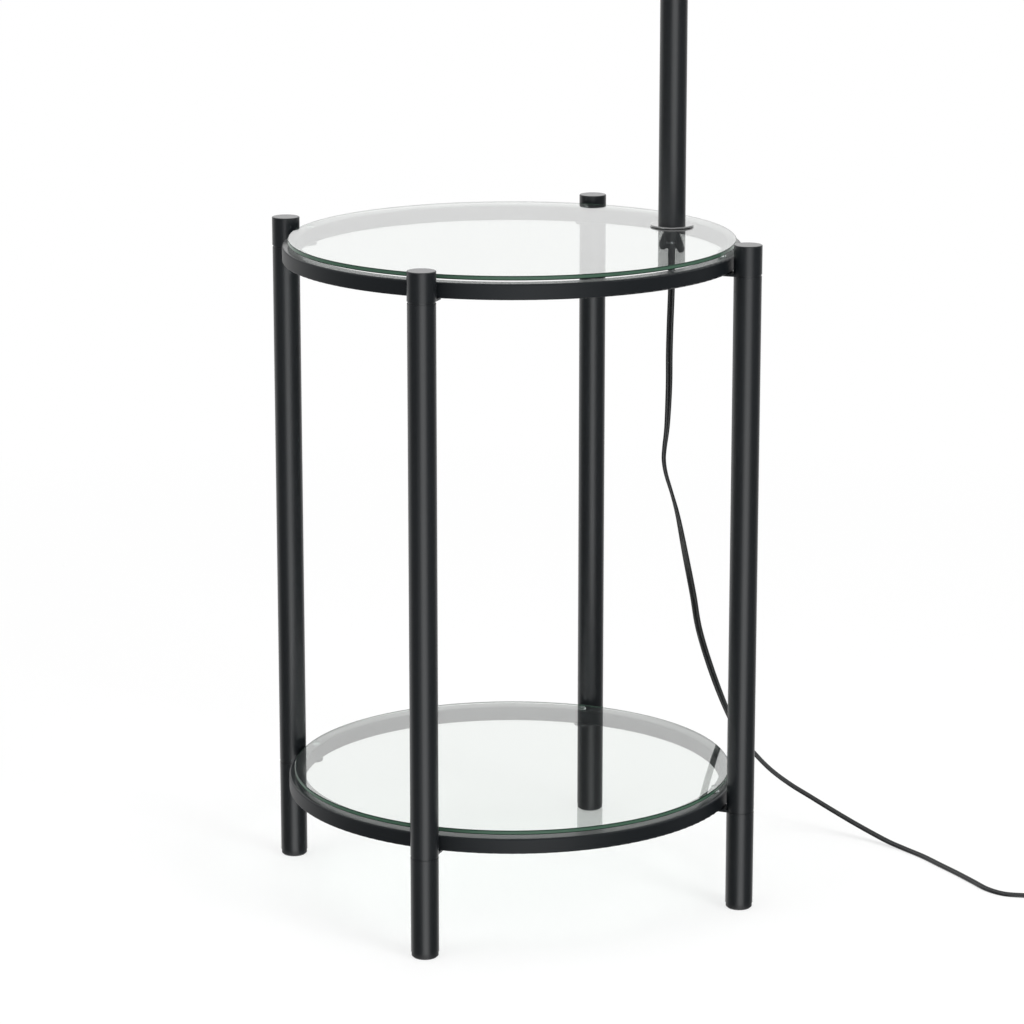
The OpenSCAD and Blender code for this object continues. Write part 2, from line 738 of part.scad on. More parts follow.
module switch_knob() {
    stem_in = 8;
    grip = knob_d / 2;
    flutes = 12;
    flute_r = 1.5;
    edge = 0.6;
    skirt_h = 1.6;
    crown_h = 1;
    color("#1b1b1c") at_pole() translate([0, 0, knob_z]) rotate([90, 0, 0]) {
        translate([0, 0, stem_in]) cylinder(r = knob_stem_d / 2, h = knob_start - stem_in + 1);
        translate([0, 0, knob_start]) {
            cylinder(r = grip, h = skirt_h);
            translate([0, 0, skirt_h]) linear_extrude(knob_l - skirt_h - crown_h) difference() {
                circle(r = grip - edge);
                for (i = [0:flutes - 1]) rotate(i * 360 / flutes) translate([grip, 0]) circle(r = flute_r);
            }
            translate([0, 0, knob_l - crown_h])
                cylinder(r1 = grip - 2 * edge, r2 = grip - 3 * edge, h = crown_h);
        }
    }
}

// Bulb: screw base, contact tip and the frosted envelope
module bulb_base() {
    steps = 36;
    screw_h = base_h - 3;
    wall = 0.8;
    root_r = base_r - 0.35;
    color("#b9bcbf") at_pole() translate([0, 0, base_z]) rotate_extrude() polygon(concat(
        [[0, 0.6], [4, 0.6], [9, 2], [base_r - 0.5, 3]],
        [for (i = [1:steps])
            [root_r + ripple(i * screw_h / steps, base_pitch), base_h - screw_h + i * screw_h / steps]],
        [[root_r - wall, base_h], [root_r - wall, 4], [0, 4]]));
}
module bulb_tip() {
    color("#8a8d90") at_pole() translate([0, 0, base_z - 0.6]) rotate_extrude() polygon([
        [0, 0], [2.4, 0], [3.2, 0.6], [3.2, 1.2], [0, 1.2]]);
}
// The envelope's radius swells from neck to ball, then closes as half a ball
function envelope(inset) = let (swell = bulb_glass_h - bulb_r, steps = 14)
    concat([for (i = [0:steps]) [mix(bulb_neck_r, bulb_r, smooth(i / steps)) - inset, swell * i / steps]],
           [for (a = [9:9:81]) [(bulb_r - inset) * cos(a), swell + (bulb_r - inset) * sin(a)]]);
module bulb_glass() {
    inner = envelope(bulb_wall);
    color("#f4f2ec") at_pole() translate([0, 0, bulb_z]) rotate_extrude() polygon(concat(
        envelope(0), [[0, bulb_glass_h], [0, bulb_glass_h - bulb_wall]],
        [for (i = [len(inner) - 1:-1:0]) inner[i]]));
}

// Shade: a tapered drum of linen, its wires and the hub that sits on the harp
module shade_cloth() {
    // Radius of the drum's outer face at a height above its lower edge
    function drum_r(z) = mix(shade_bottom_r, shade_top_r, z / shade_h);
    color("#efe9dc") at_pole() translate([0, 0, shade_z]) rotate_extrude() polygon([
        [shade_bottom_r - shade_wall, 0], [shade_bottom_r + hem_t, 0],
        [drum_r(hem_h) + hem_t, hem_h], [drum_r(hem_h), hem_h],
        [drum_r(shade_h - hem_h), shade_h - hem_h], [drum_r(shade_h - hem_h) + hem_t, shade_h - hem_h],
        [shade_top_r + hem_t, shade_h], [shade_top_r - shade_wall, shade_h]]);
}
module wire_circle(circle_r) rotate_extrude() translate([circle_r, 0]) circle(r = shade_wire_r);
module shade_bottom_wire() {
    lift = 2;
    color("#d8d8d6") at_pole() translate([0, 0, shade_z + shade_wire_r + lift])
        wire_circle(wire_bottom_circle);
}
module shade_spider() {
    ring_z = shade_top_z - shade_wire_r - 2;
    arm_from = hub_r - 2;
    rise = ring_z - hub_z - hub_t / 2;
    run = wire_top_circle - arm_from;
    color("#d8d8d6") at_pole() {
        translate([0, 0, ring_z]) wire_circle(wire_top_circle);
        translate([0, 0, hub_z]) ring_plate(hub_r, stud_r + 0.4, hub_t);
        for (a = [90, 210, 330]) rotate(a) translate([arm_from, 0, hub_z + hub_t / 2])
            rotate([0, atan2(run, rise), 0]) cylinder(r = shade_wire_r * 0.8, h = norm([run, rise]));
    }
}
module finial() {
    ball = finial_d / 2;
    foot = 6.5;
    waist = 3.8;
    foot_h = 4;
    ball_z = foot_h + 3 + ball;
    depth = finial_stud_h - hub_t;
    color("#303335") at_pole() translate([0, 0, finial_z]) difference() {
        rotate_extrude() polygon(concat(
            [[0, 0], [foot, 0], [foot, 1.5], [foot - 1, 2.4], [waist, foot_h]],
            arc([0, ball_z], ball, -62, 86, 18),
            [[0, ball_z + ball]]));
        translate([0, 0, -1]) cylinder(r = stud_r + 0.06, h = depth + 1);
    }
}

// The cord: a hanging run, a two-layer coil and the plug
cord_path4 = curve(concat(route, route_end), cord_steps);
cord_path = xyz(cord_path4);
cord_sides = [for (q = cord_path4) [cos(q[3]), sin(q[3]), 0]];
eight_sided = [for (q = [[0.5, 0.32], [0.32, 0.5], [-0.32, 0.5], [-0.5, 0.32],
                         [-0.5, -0.32], [-0.32, -0.5], [0.32, -0.5], [0.5, -0.32]])
    [q[0] * cord_w, q[1] * cord_t]];
six_sided = [for (q = [[0.5, 0], [0.34, 0.5], [-0.34, 0.5], [-0.5, 0], [-0.34, -0.5], [0.34, -0.5]])
    [q[0] * cord_w, q[1] * cord_t]];
module cord_run() {
    color("#18191a") tube_through(rings(cord_path, cord_sides, eight_sided), len(cord_path), 8);
}

// The coil winds clockwise. Its radius shrinks by one pitch a turn to the middle turn, then grows again,
// and in the half turn round the middle it climbs one layer.
function coil_point(turn) = let (
        middle = coil_turns / 2,
        r = coil_r - coil_pitch * (middle - abs(turn - middle)),
        climb = smooth(min(1, max(0, (turn - middle + 0.25) * 2))))
    [r * sin(360 * turn), r * cos(360 * turn) - coil_r, cord_on_floor + coil_rise * climb];
coil_path = concat(
    [[-coil_lead, 0, cord_on_floor], [-coil_lead / 2, 0, cord_on_floor]],
    [for (i = [0:coil_turns * coil_steps]) coil_point(i / coil_steps)],
    [[coil_tail / 2, 0, plug_axis_z], [coil_tail, 0, plug_axis_z]]);
coil_sides = let (n = len(coil_path) - 1) [for (i = [0:n])
    i < 2 || i > n - 2 ? [0, -1, 0] : unit([0, -coil_r, 0] + [0, 0, coil_path[i][2]] - coil_path[i])];
module at_coil() translate([coil_entry[0], coil_entry[1], 0]) rotate(coil_heading) children();
module cord_coil() {
    color("#18191a") at_coil() tube_through(rings(coil_path, coil_sides, six_sided), len(coil_path), 6);
}
coil_points = rings(coil_path, coil_sides, six_sided);
least_gap = min([for (i = [0:len(coil_path) - 1], j = [i + 12:1:len(coil_path) - 1])
    if (norm(coil_path[i] - coil_path[j]) < 1.5 * cord_w)
        for (a = [0:5], b = [0:5]) norm(coil_points[6 * i + a] - coil_points[6 * j + b])]);
echo(least_gap_in_coil = least_gap, run_length = length_of(cord_path), coil_length = length_of(coil_path));

module plug_block(x, w, t) {
    corner = min(t / 2 - 0.1, 4);
    translate([x, 0, 0]) rotate([90, 0, 90]) linear_extrude(1, $fn = 32) rounded_rect(w, t, corner);
}
module plug_body() {
    t = 2 * plug_axis_z;
    waist_x = plug_start + plug_sleeve_l + plug_l * 0.45;
    sleeve_r1 = 3.9;
    color("#1d1e1f") at_coil() translate([0, 0, plug_axis_z]) difference() {
        union() {
            hull() {
                plug_block(plug_start + plug_sleeve_l, plug_w * 0.5, t * 0.8);
                plug_block(waist_x, plug_w * 0.78, t);
            }
            hull() {
                plug_block(waist_x, plug_w * 0.78, t);
                plug_block(plug_front - 1, plug_w, t);
            }
            translate([plug_start, 0, 0]) rotate([0, 90, 0]) {
                cylinder(r1 = sleeve_r1, r2 = sleeve_r1 + 0.7, h = plug_sleeve_l + 1);
                for (i = [0:2]) translate([0, 0, 2 + i * (plug_sleeve_l - 4) / 3])
                    cylinder(r = sleeve_r1 + 0.8, h = plug_sleeve_l / 8);
            }
            for (side = [-1, 1], i = [0:2]) translate([waist_x + i * 2.6 - 2, side * plug_w * 0.39, 0])
                cube([1.2, 1.6, t * 0.6], center = true);
        }
        for (i = [0, 1]) blade(i, seat_play);
    }
}
// One blade, wider for the neutral side, with the usual hole near its tip
module blade(i, play) {
    w = blade_widths[i] + 2 * play;
    translate([plug_front - blade_root - play, (i - 0.5) * blade_gap - blade_t / 2 - play, -w / 2])
        cube([blade_root + blade_l + play, blade_t + 2 * play, w]);
}
module plug_blades() {
    hole_x = plug_front + blade_l - 5;
    color("#c9ab62") at_coil() translate([0, 0, plug_axis_z]) difference() {
        for (i = [0, 1]) blade(i, 0);
        translate([hole_x, 0, 0]) rotate([90, 0, 0]) cylinder(r = 1.6, h = 2 * blade_gap, center = true);
    }
}

lower_ring();
upper_ring();
lower_plates();
upper_plates();
foot_tube_front_left();
foot_tube_front_right();
foot_tube_back_right();
foot_tube_back_left();
leg_tube_front_left();
leg_tube_front_right();
leg_tube_back_right();
leg_tube_back_left();
leg_head_front_left();
leg_head_front_right();
leg_head_back_right();
leg_head_back_left();
leg_inserts();
leg_studs();
foot_glides();
lower_pads();
upper_pads();
lower_glass();
upper_glass();
pole_flange();
top_gasket();
under_gasket();
under_washer();
foot_nipple();
wing_nut();
cord_bush();
pole_lower();
pole_upper();
pole_inserts();
pole_coupling();
pole_cap();
socket_nipple();
inner_cord();
harp_saddle();
harp();
harp_sleeve_left();
harp_sleeve_right();
socket_cap();
socket_shell();
socket_liner();
socket_core();
screw_shell();
centre_contact();
switch_knob();
bulb_base();
bulb_tip();
bulb_glass();
shade_cloth();
shade_bottom_wire();
shade_spider();
finial();
cord_run();
cord_coil();
plug_body();
plug_blades();
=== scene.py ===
"""Dresses a floor lamp that is built into a round side table with two glass shelves."""
import json
import logging
import math
from dataclasses import dataclass
from enum import Enum
from typing import Any, Iterable

import bmesh
import bpy
import numpy as np
from mathutils import Euler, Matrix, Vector


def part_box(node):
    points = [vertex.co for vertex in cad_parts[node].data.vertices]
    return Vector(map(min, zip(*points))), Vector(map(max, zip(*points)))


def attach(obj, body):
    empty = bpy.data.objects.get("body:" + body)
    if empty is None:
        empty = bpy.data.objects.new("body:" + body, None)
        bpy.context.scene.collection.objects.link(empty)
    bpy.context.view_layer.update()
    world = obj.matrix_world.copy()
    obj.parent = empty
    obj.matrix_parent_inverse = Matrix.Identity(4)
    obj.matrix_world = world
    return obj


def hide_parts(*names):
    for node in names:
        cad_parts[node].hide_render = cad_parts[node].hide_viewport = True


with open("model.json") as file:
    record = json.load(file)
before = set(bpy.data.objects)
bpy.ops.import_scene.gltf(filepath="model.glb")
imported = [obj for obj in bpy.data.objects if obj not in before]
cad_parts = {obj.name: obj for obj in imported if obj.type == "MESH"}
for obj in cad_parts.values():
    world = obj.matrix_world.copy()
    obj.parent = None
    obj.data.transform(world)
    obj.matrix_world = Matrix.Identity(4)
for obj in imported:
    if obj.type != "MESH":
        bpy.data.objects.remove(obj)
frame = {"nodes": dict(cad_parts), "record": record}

LOG = logging.getLogger("floor_lamp")
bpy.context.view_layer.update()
MM = 0.001
TURN = 2 * math.pi
SHADER = "Principled BSDF"

# Points closer than the first are merged, and edges shorter than the second are dissolved.
MERGE = 1e-6
SHORTEST = 1e-7

# Faces that meet at a larger angle have a sharp edge between them.
SHARP = math.radians(35)

# A Wave texture of scale 1 draws this many bands in a length of 2 pi.
WAVE_BANDS = 20


class Body(Enum):
    """The moving bodies of the lamp that new pieces ride on."""

    STAND = "stand"
    BULB = "bulb"
    SHADE = "shade"


class Slot(Enum):
    """The record's finish slots that match the new pieces; this script doesn't use them."""

    GLASS = "glass"
    CORD = "cord_jacket"
    FROSTED_GLASS = "frosted_glass"
    LINEN = "linen"


def linear(colour: str) -> tuple[float, float, float, float]:
    """Turns an sRGB hex colour to linear light by the standard's own curve.

    Args:
        colour: Six hex digits with a leading hash.

    Returns:
        Red, green, blue and a full alpha.
    """
    parts = np.array([int(colour[i:i + 2], 16) for i in (1, 3, 5)]) / 255
    light = np.where(parts <= 0.04045, parts / 12.92, ((parts + 0.055) / 1.055) ** 2.4)
    return (*light.tolist(), 1.0)


def middle_of(node: str) -> tuple[float, float]:
    """Gives X and Y of the middle of a CAD node's box."""
    low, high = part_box(node)
    return (low.x + high.x) / 2, (low.y + high.y) / 2


def smooth_step(t: np.ndarray) -> np.ndarray:
    """Gives t^2 (3 - 2t), which rises from 0 to 1 as t does and is level at both ends."""
    return t * t * (3 - 2 * t)


def add_node(tree: bpy.types.NodeTree, kind: str, inputs: dict[Any, Any] | None = None,
             **settings: Any) -> bpy.types.Node:
    """Adds a shader node with its settings and links.

    Args:
        tree: The node tree that it goes into.
        kind: The node's type, such as ShaderNodeMix.
        inputs: What each input gets, by name or number: a value, or another node's output socket.
        settings: The node's own properties.

    Returns:
        The new node.
    """
    made = tree.nodes.new(kind)
    for name, value in settings.items():
        setattr(made, name, value)
    for name, value in (inputs or {}).items():
        if isinstance(value, bpy.types.NodeSocket):
            tree.links.new(value, made.inputs[name])
        else:
            made.inputs[name].default_value = value
    return made


def material_of(name: str, surface: dict[str, Any]) -> bpy.types.Material:
    """Makes a material with one Principled shader.

    Args:
        name: The material's name.
        surface: Values for the shader's sockets, as numbers or colours.

    Returns:
        The material, whose shader node has the name in SHADER.
    """
    made = bpy.data.materials.new(name)
    made.use_nodes = True
    shader = made.node_tree.nodes[SHADER]
    for socket, value in surface.items():
        shader.inputs[socket].default_value = value
    return made


def drive(tree: bpy.types.NodeTree, sources: dict[str, bpy.types.NodeSocket]) -> None:
    """Links outputs of nodes to the sockets of a material's shader.

    Args:
        tree: The material's node tree.
        sources: The output that each of the shader's sockets gets.
    """
    for socket, source in sources.items():
        tree.links.new(source, tree.nodes[SHADER].inputs[socket])


@dataclass(frozen=True)
class PowderCoat:
    """Polyester powder coat, baked on steel: satin black with a faint orange peel.

    On level faces the powder flows out to a smooth gloss, which is the coat here.

    Attributes:
        name: The material's name.
        colour: Its main colour.
        worn: The colour that clouds it.
        roughness: Its middle roughness.
        unevenness: How far the roughness goes to either side of that.
        level: Strength of the plain reflection.
        flow: Weight of the gloss coat on level faces.
        upward: Upward part of the normal where the gloss coat begins and where it is full.
        coat_roughness: Roughness of the gloss coat.
        coat_ior: Refractive index of the gloss coat.
        cloud: Size of the clouds in the tone.
        peel_mm: Size of the orange peel's bumps in millimetres.
        peel_strength: Strength of their relief.
        peel_depth: Depth of their relief.
    """

    name: str = "powder_coated_steel"
    colour: str = "#111417"
    worn: str = "#15191c"
    roughness: float = 0.36
    unevenness: float = 0.04
    level: float = 0.5
    flow: float = 0.0
    upward: tuple[float, float] = (0.85, 0.98)
    coat_roughness: float = 0.12
    coat_ior: float = 1.8
    cloud: float = 1 / 9
    peel_mm: float = 1.6
    peel_strength: float = 0.05
    peel_depth: float = 0.2 * MM

    def build(self) -> bpy.types.Material:
        """Makes the material, with grain and roughness that vary over the coat.

        Returns:
            The material.
        """
        made = material_of(self.name, {
            "IOR": 1.5, "Specular IOR Level": self.level, "Coat Roughness": self.coat_roughness,
            "Coat IOR": self.coat_ior})
        tree = made.node_tree
        where = add_node(tree, "ShaderNodeTexCoord")
        place = where.outputs["Object"]
        if self.flow:
            up = add_node(tree, "ShaderNodeSeparateXYZ", {0: where.outputs["Normal"]}).outputs["Z"]
            coat = add_node(tree, "ShaderNodeMapRange", {
                "Value": up, "From Min": self.upward[0], "From Max": self.upward[1], "To Max": self.flow})
            drive(tree, {"Coat Weight": coat.outputs["Result"]})
        cloud = add_node(tree, "ShaderNodeTexNoise", {"Vector": place, "Scale": 1 / self.cloud, "Detail": 3.0})
        tone = add_node(tree, "ShaderNodeMix", {
            "Factor": cloud.outputs["Fac"], 6: linear(self.colour), 7: linear(self.worn)}, data_type="RGBA")
        rough = add_node(tree, "ShaderNodeMapRange", {
            "Value": cloud.outputs["Fac"], "To Min": self.roughness - self.unevenness,
            "To Max": self.roughness + self.unevenness})
        peel = add_node(tree, "ShaderNodeTexNoise", {"Vector": place, "Scale": 1 / (self.peel_mm * MM)})
        bump = add_node(tree, "ShaderNodeBump", {
            "Height": peel.outputs["Fac"], "Strength": self.peel_strength, "Distance": self.peel_depth})
        drive(tree, {"Base Color": tone.outputs[2], "Roughness": rough.outputs["Result"],
                     "Normal": bump.outputs["Normal"]})
        return made


@dataclass(frozen=True)
class FloatGlass:
    """Clear float glass, tempered: smooth faces, a green cast and a strong mirror at low angles.

    Attributes:
        name: The material's name.
        colour: Its cast.
        passed: The colour that light from the lamps keeps when it has gone through.
        mirror: Weight of the clear coat, which strengthens the mirror.
    """

    name: str = "tempered_float_glass"
    colour: str = "#ecf0ed"
    passed: str = "#e9f1ed"
    mirror: float = 0.6

    def build(self) -> bpy.types.Material:
        """Makes the material, which lets lamp rays through to what is behind it.

        Returns:
            The material.
        """
        made = material_of(self.name, {
            "Base Color": linear(self.colour), "Roughness": 0.0, "IOR": 1.52, "Transmission Weight": 1.0,
            "Coat Weight": self.mirror, "Coat Roughness": 0.0, "Coat IOR": 1.5})
        tree = made.node_tree
        path = add_node(tree, "ShaderNodeLightPath")
        clear = add_node(tree, "ShaderNodeBsdfTransparent", {"Color": linear(self.passed)})
        mixed = add_node(tree, "ShaderNodeMixShader", {
            0: path.outputs["Is Shadow Ray"], 1: tree.nodes[SHADER].outputs[0], 2: clear.outputs[0]})
        tree.links.new(mixed.outputs[0], tree.nodes["Material Output"].inputs["Surface"])
        return made


@dataclass(frozen=True)
class GroundEdge:
    """The ground and polished rim of float glass, drawn opaque: its green is painted light, standing in for the light
    that ran through the glass and comes out at the rim.

    The bevels and the faces next to them are darker than the middle of the rim, which is painted shade.

    Attributes:
        name: The material's name.
        middle: Colour of the rim's middle, painted light.
        painted_bevel_shade: Colour of its bevels, painted shade.
        band: The marks between which one turns to the other.
    """

    name: str = "ground_glass_edge"
    # Painted light: the green of light coming out through the rim; the darker colour paints shade on the bevels.
    middle: str = "#476353"
    painted_bevel_shade: str = "#283a31"
    band: tuple[float, float] = (0.12, 0.45)

    def build(self) -> bpy.types.Material:
        """Makes the material, which reads the height over the rim from the mesh.

        Returns:
            The material.
        """
        made = material_of(self.name, {"Roughness": 0.15, "IOR": 1.52, "Specular IOR Level": 0.1})
        tree = made.node_tree
        marks = add_node(tree, "ShaderNodeAttribute", attribute_name="marks").outputs["Vector"]
        over = add_node(tree, "ShaderNodeSeparateXYZ", {0: marks}).outputs["X"]
        share = add_node(tree, "ShaderNodeMapRange", {
            "Value": over, "From Min": self.band[0], "From Max": self.band[1]},
            interpolation_type="SMOOTHSTEP").outputs["Result"]
        # Painted shade on the bevels blends to the painted light of the rim's middle.
        tone = add_node(tree, "ShaderNodeMix", {
            "Factor": share, 6: linear(self.painted_bevel_shade), 7: linear(self.middle)}, data_type="RGBA")
        drive(tree, {"Base Color": tone.outputs[2]})
        return made


@dataclass(frozen=True)
class Linen:
    """Plain-woven linen: slubby threads both ways, matt, with a soft sheen at low angles.

    A real thread is about 0.6 mm apart from the next, and is drawn coarser here so that it shows.

    Attributes:
        name: The material's name.
        colour: Colour of the cloth.
        slub: Colour of its thick threads.
        thread: Distance from thread to thread.
        cells: Slubs in a metre, along a thread and across: each is 17 mm long and 0.9 mm wide.
        thick: Sums of both ways' slubs between which the tone turns to the slubs' colour.
        relief: Strength of the weave's relief.
        depth: Depth of the weave's relief.
    """

    name: str = "woven_linen"
    colour: str = "#e9e2d3"
    slub: str = "#d3c9b5"
    thread: float = 1.1 * MM
    cells: tuple[float, float] = (60.0, 1100.0)
    thick: tuple[float, float] = (0.8, 1.3)
    relief: float = 0.5
    depth: float = 0.12 * MM

    def build(self) -> bpy.types.Material:
        """Makes the material, which reads metres round and up the cloth from the mesh.

        The weave is the product of one wave round and one up, where a band is two threads wide.

        Returns:
            The material.
        """
        made = material_of(self.name, {
            "Roughness": 0.9, "Specular IOR Level": 0.2, "Sheen Weight": 0.25, "Sheen Roughness": 0.5})
        tree = made.node_tree
        marks = add_node(tree, "ShaderNodeAttribute", attribute_name="marks").outputs["Vector"]
        scale = TURN / (WAVE_BANDS * 2 * self.thread)
        along, across = self.cells
        swings, slubs = [], []
        for way, stretch in (("X", (along, across, 1.0)), ("Y", (across, along, 1.0))):
            wave = add_node(tree, "ShaderNodeTexWave", {
                "Vector": marks, "Scale": scale, "Distortion": 0.6, "Detail": 1.0, "Detail Scale": 0.4},
                bands_direction=way)
            swings.append(add_node(tree, "ShaderNodeMapRange", {
                "Value": wave.outputs["Fac"], "To Min": -1.0}).outputs["Result"])
            run = add_node(tree, "ShaderNodeMapping", {"Vector": marks, "Scale": stretch}).outputs["Vector"]
            slubs.append(add_node(tree, "ShaderNodeTexNoise", {
                "Vector": run, "Scale": 1.0, "Detail": 2.0}).outputs["Fac"])
        weave = add_node(tree, "ShaderNodeMath", {0: swings[0], 1: swings[1]}, operation="MULTIPLY").outputs[0]
        total = add_node(tree, "ShaderNodeMath", {0: slubs[0], 1: slubs[1]}, operation="ADD").outputs[0]
        share = add_node(tree, "ShaderNodeMapRange", {
            "Value": total, "From Min": self.thick[0], "From Max": self.thick[1]})
        tone = add_node(tree, "ShaderNodeMix", {
            "Factor": share.outputs["Result"], 6: linear(self.colour), 7: linear(self.slub)}, data_type="RGBA")
        height = add_node(tree, "ShaderNodeMath", {0: weave, 1: total}, operation="ADD").outputs[0]
        bump = add_node(tree, "ShaderNodeBump", {"Height": height, "Strength": self.relief, "Distance": self.depth})
        drive(tree, {"Base Color": tone.outputs[2], "Normal": bump.outputs["Normal"]})
        return made


@dataclass(frozen=True)
class PlainFinish:
    """A finish whose grain is one noise pattern, in its tone and its relief.

    Attributes:
        name: The material's name.
        colour: Its main colour.
        shade: The colour that the grain turns to.
        roughness: Its roughness.
        grain_mm: Size of the grain in millimetres.
        relief: Strength of the grain's relief.
        metallic: 1 for a metal.
        transmission: How much light goes through.
        ior: Refractive index.
        coat: Weight of a clear coat.
        coat_ior: Refractive index of that coat.
        depth: Depth of the grain's relief.
    """

    name: str
    colour: str
    shade: str
    roughness: float
    grain_mm: float
    relief: float
    metallic: float = 0.0
    transmission: float = 0.0
    ior: float = 1.5
    coat: float = 0.0
    coat_ior: float = 1.5
    depth: float = 0.3 * MM

    def build(self) -> bpy.types.Material:
        """Makes the material.

        Returns:
            The material.
        """
        made = material_of(self.name, {
            "Roughness": self.roughness, "Metallic": self.metallic, "Transmission Weight": self.transmission,
            "IOR": self.ior, "Coat Weight": self.coat, "Coat IOR": self.coat_ior})
        tree = made.node_tree
        place = add_node(tree, "ShaderNodeTexCoord").outputs["Object"]
        grain = add_node(tree, "ShaderNodeTexNoise", {
            "Vector": place, "Scale": 1 / (self.grain_mm * MM), "Detail": 4.0}).outputs["Fac"]
        tone = add_node(tree, "ShaderNodeMix", {
            "Factor": grain, 6: linear(self.colour), 7: linear(self.shade)}, data_type="RGBA")
        bump = add_node(tree, "ShaderNodeBump", {"Height": grain, "Strength": self.relief, "Distance": self.depth})
        drive(tree, {"Base Color": tone.outputs[2], "Normal": bump.outputs["Normal"]})
        return made


def grid_faces(rows: int, columns: int, start: int) -> np.ndarray:
    """Lists the four-cornered faces of a grid of points whose last column joins the first.

    Args:
        rows: Points along the first parameter.
        columns: Points along the second parameter.
        start: Number of the grid's first point.

    Returns:
        One row of four point numbers a face.
    """
    i = np.arange(rows - 1)[:, None]
    j = np.arange(columns)[None, :]
    after = (j + 1) % columns
    corners = [i * columns + j, i * columns + after, (i + 1) * columns + after, (i + 1) * columns + j]
    return start + np.stack(corners, -1).reshape(-1, 4)


@dataclass
class Grid:
    """A surface as a grid of points, one closed row after another, with marks that its finish reads."""

    points: np.ndarray
    material: int = 0
    marks: np.ndarray | None = None


def make_piece(name: str, grids: Iterable[Grid], finishes: list[bpy.types.Material], body: Body) -> bpy.types.Object:
    """Makes one piece of the lamp from its surfaces.

    Args:
        name: The piece's name.
        grids: Its surfaces.
        finishes: The materials that the grids number.
        body: The body that it rides on.

    Returns:
        The piece, closed at its poles and with its faces outwards.
    """
    points, faces, kinds, marks, count = [], [], [], [], 0
    for grid in grids:
        rows, columns = grid.points.shape[:2]
        points.append(grid.points.reshape(-1, 3))
        faces.append(grid_faces(rows, columns, count))
        kinds.append(np.full(len(faces[-1]), grid.material))
        marks.append(np.zeros(grid.points.shape) if grid.marks is None
                     else np.broadcast_to(grid.marks, grid.points.shape))
        count += rows * columns
    mesh = bpy.data.meshes.new(name)
    mesh.from_pydata(np.concatenate(points).tolist(), [], np.concatenate(faces).tolist())
    mesh.polygons.foreach_set("material_index", np.concatenate(kinds).astype(np.int32))
    written = mesh.attributes.new("marks", "FLOAT_VECTOR", "POINT")
    written.data.foreach_set("vector", np.concatenate([mark.ravel() for mark in marks]).astype(np.float32))
    for finish in finishes:
        mesh.materials.append(finish)
    work = bmesh.new()
    work.from_mesh(mesh)
    bmesh.ops.remove_doubles(work, verts=work.verts, dist=MERGE)
    bmesh.ops.dissolve_degenerate(work, edges=work.edges, dist=SHORTEST)
    bmesh.ops.recalc_face_normals(work, faces=work.faces)
    work.to_mesh(mesh)
    work.free()
    mesh.shade_smooth()
    mesh.set_sharp_from_angle(angle=SHARP)
    piece = bpy.data.objects.new(name, mesh)
    bpy.context.scene.collection.objects.link(piece)
    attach(piece, body.value)
    LOG.info("%s: %d faces", name, len(mesh.polygons))
    return piece


def lathe(radius: np.ndarray, height: np.ndarray, axis: tuple[float, float], angle: np.ndarray) -> np.ndarray:
    """Turns a profile about an upright axis.

    A point of the profile goes to axis + radius times (cos a, sin a) at its height, for every angle a.

    Args:
        radius: Radius of each point as a column, or one column for each angle where it changes round the axis.
        height: Height of each point as a column.
        axis: X and Y of the axis.
        angle: The angles.

    Returns:
        A grid with a row for each point of the profile.
    """
    radius, height, angle = np.broadcast_arrays(radius, height, angle)
    return np.stack([axis[0] + radius * np.cos(angle), axis[1] + radius * np.sin(angle), height], -1)


def carried(path: np.ndarray, sides: np.ndarray, outline: np.ndarray) -> np.ndarray:
    """Carries an outline along a path.

    At each point of the path the outline's first axis follows the side vector and its second axis the vector
    across both, so that the outline stays square to the path.

    Args:
        path: Points of the path.
        sides: A vector at each point for the outline's first axis.
        outline: Points of the outline, in its own two axes.

    Returns:
        A grid with a row for each point of the path.
    """
    along = np.gradient(path, axis=0)
    along /= np.linalg.norm(along, axis=1, keepdims=True)
    up = np.cross(along, sides)
    up /= np.linalg.norm(up, axis=1, keepdims=True)
    across = np.cross(up, along)
    return path[:, None] + across[:, None] * outline[None, :, :1] + up[:, None] * outline[None, :, 1:]


def capped(rings: np.ndarray) -> np.ndarray:
    """Closes a tube of rings by adding each end's middle as a ring of one place.

    Args:
        rings: The tube, with a row for each ring.

    Returns:
        The tube with one row more at each end.
    """
    first = np.broadcast_to(rings[0].mean(0), rings[:1].shape)
    last = np.broadcast_to(rings[-1].mean(0), rings[:1].shape)
    return np.concatenate([first, rings, last])


def rounded(points: np.ndarray, steps: int) -> np.ndarray:
    """Draws a Catmull-Rom curve through points of any dimension.

    Between two points the curve is the cubic whose slope at each end is half the step between its neighbours.

    Args:
        points: The points that it goes through.
        steps: Steps between two points.

    Returns:
        The points of the curve.
    """
    padded = np.concatenate([2 * points[:1] - points[1:2], points, 2 * points[-1:] - points[-2:-1]])
    a, b, c, d = (padded[k:len(padded) - 3 + k, None] for k in range(4))
    t = (np.arange(steps) / steps)[None, :, None]
    curve = 0.5 * (2 * b + (c - a) * t + (2 * a - 5 * b + 4 * c - d) * t ** 2 + (3 * b - a - 3 * c + d) * t ** 3)
    return np.concatenate([curve.reshape(-1, points.shape[1]), points[-1:]])


@dataclass(frozen=True)
class View:
    """The camera, at the photograph's place and angle."""

    place: tuple[float, float, float] = (-1.4472, -3.1449, 1.1920)
    heading: float = math.radians(65.29)
    down: float = 0.2375
    lens: float = 136.69

    def build(self) -> None:
        """Makes the camera and hands it to the scene."""
        data = bpy.data.cameras.new("camera")
        data.lens = self.lens
        data.sensor_width = 36
        data.clip_end = 60
        camera = bpy.data.objects.new("camera", data)
        camera.location = self.place
        camera.rotation_euler = Euler((math.pi / 2 - self.down, 0, self.heading - math.pi / 2))
        bpy.context.scene.collection.objects.link(camera)
        bpy.context.scene.camera = camera


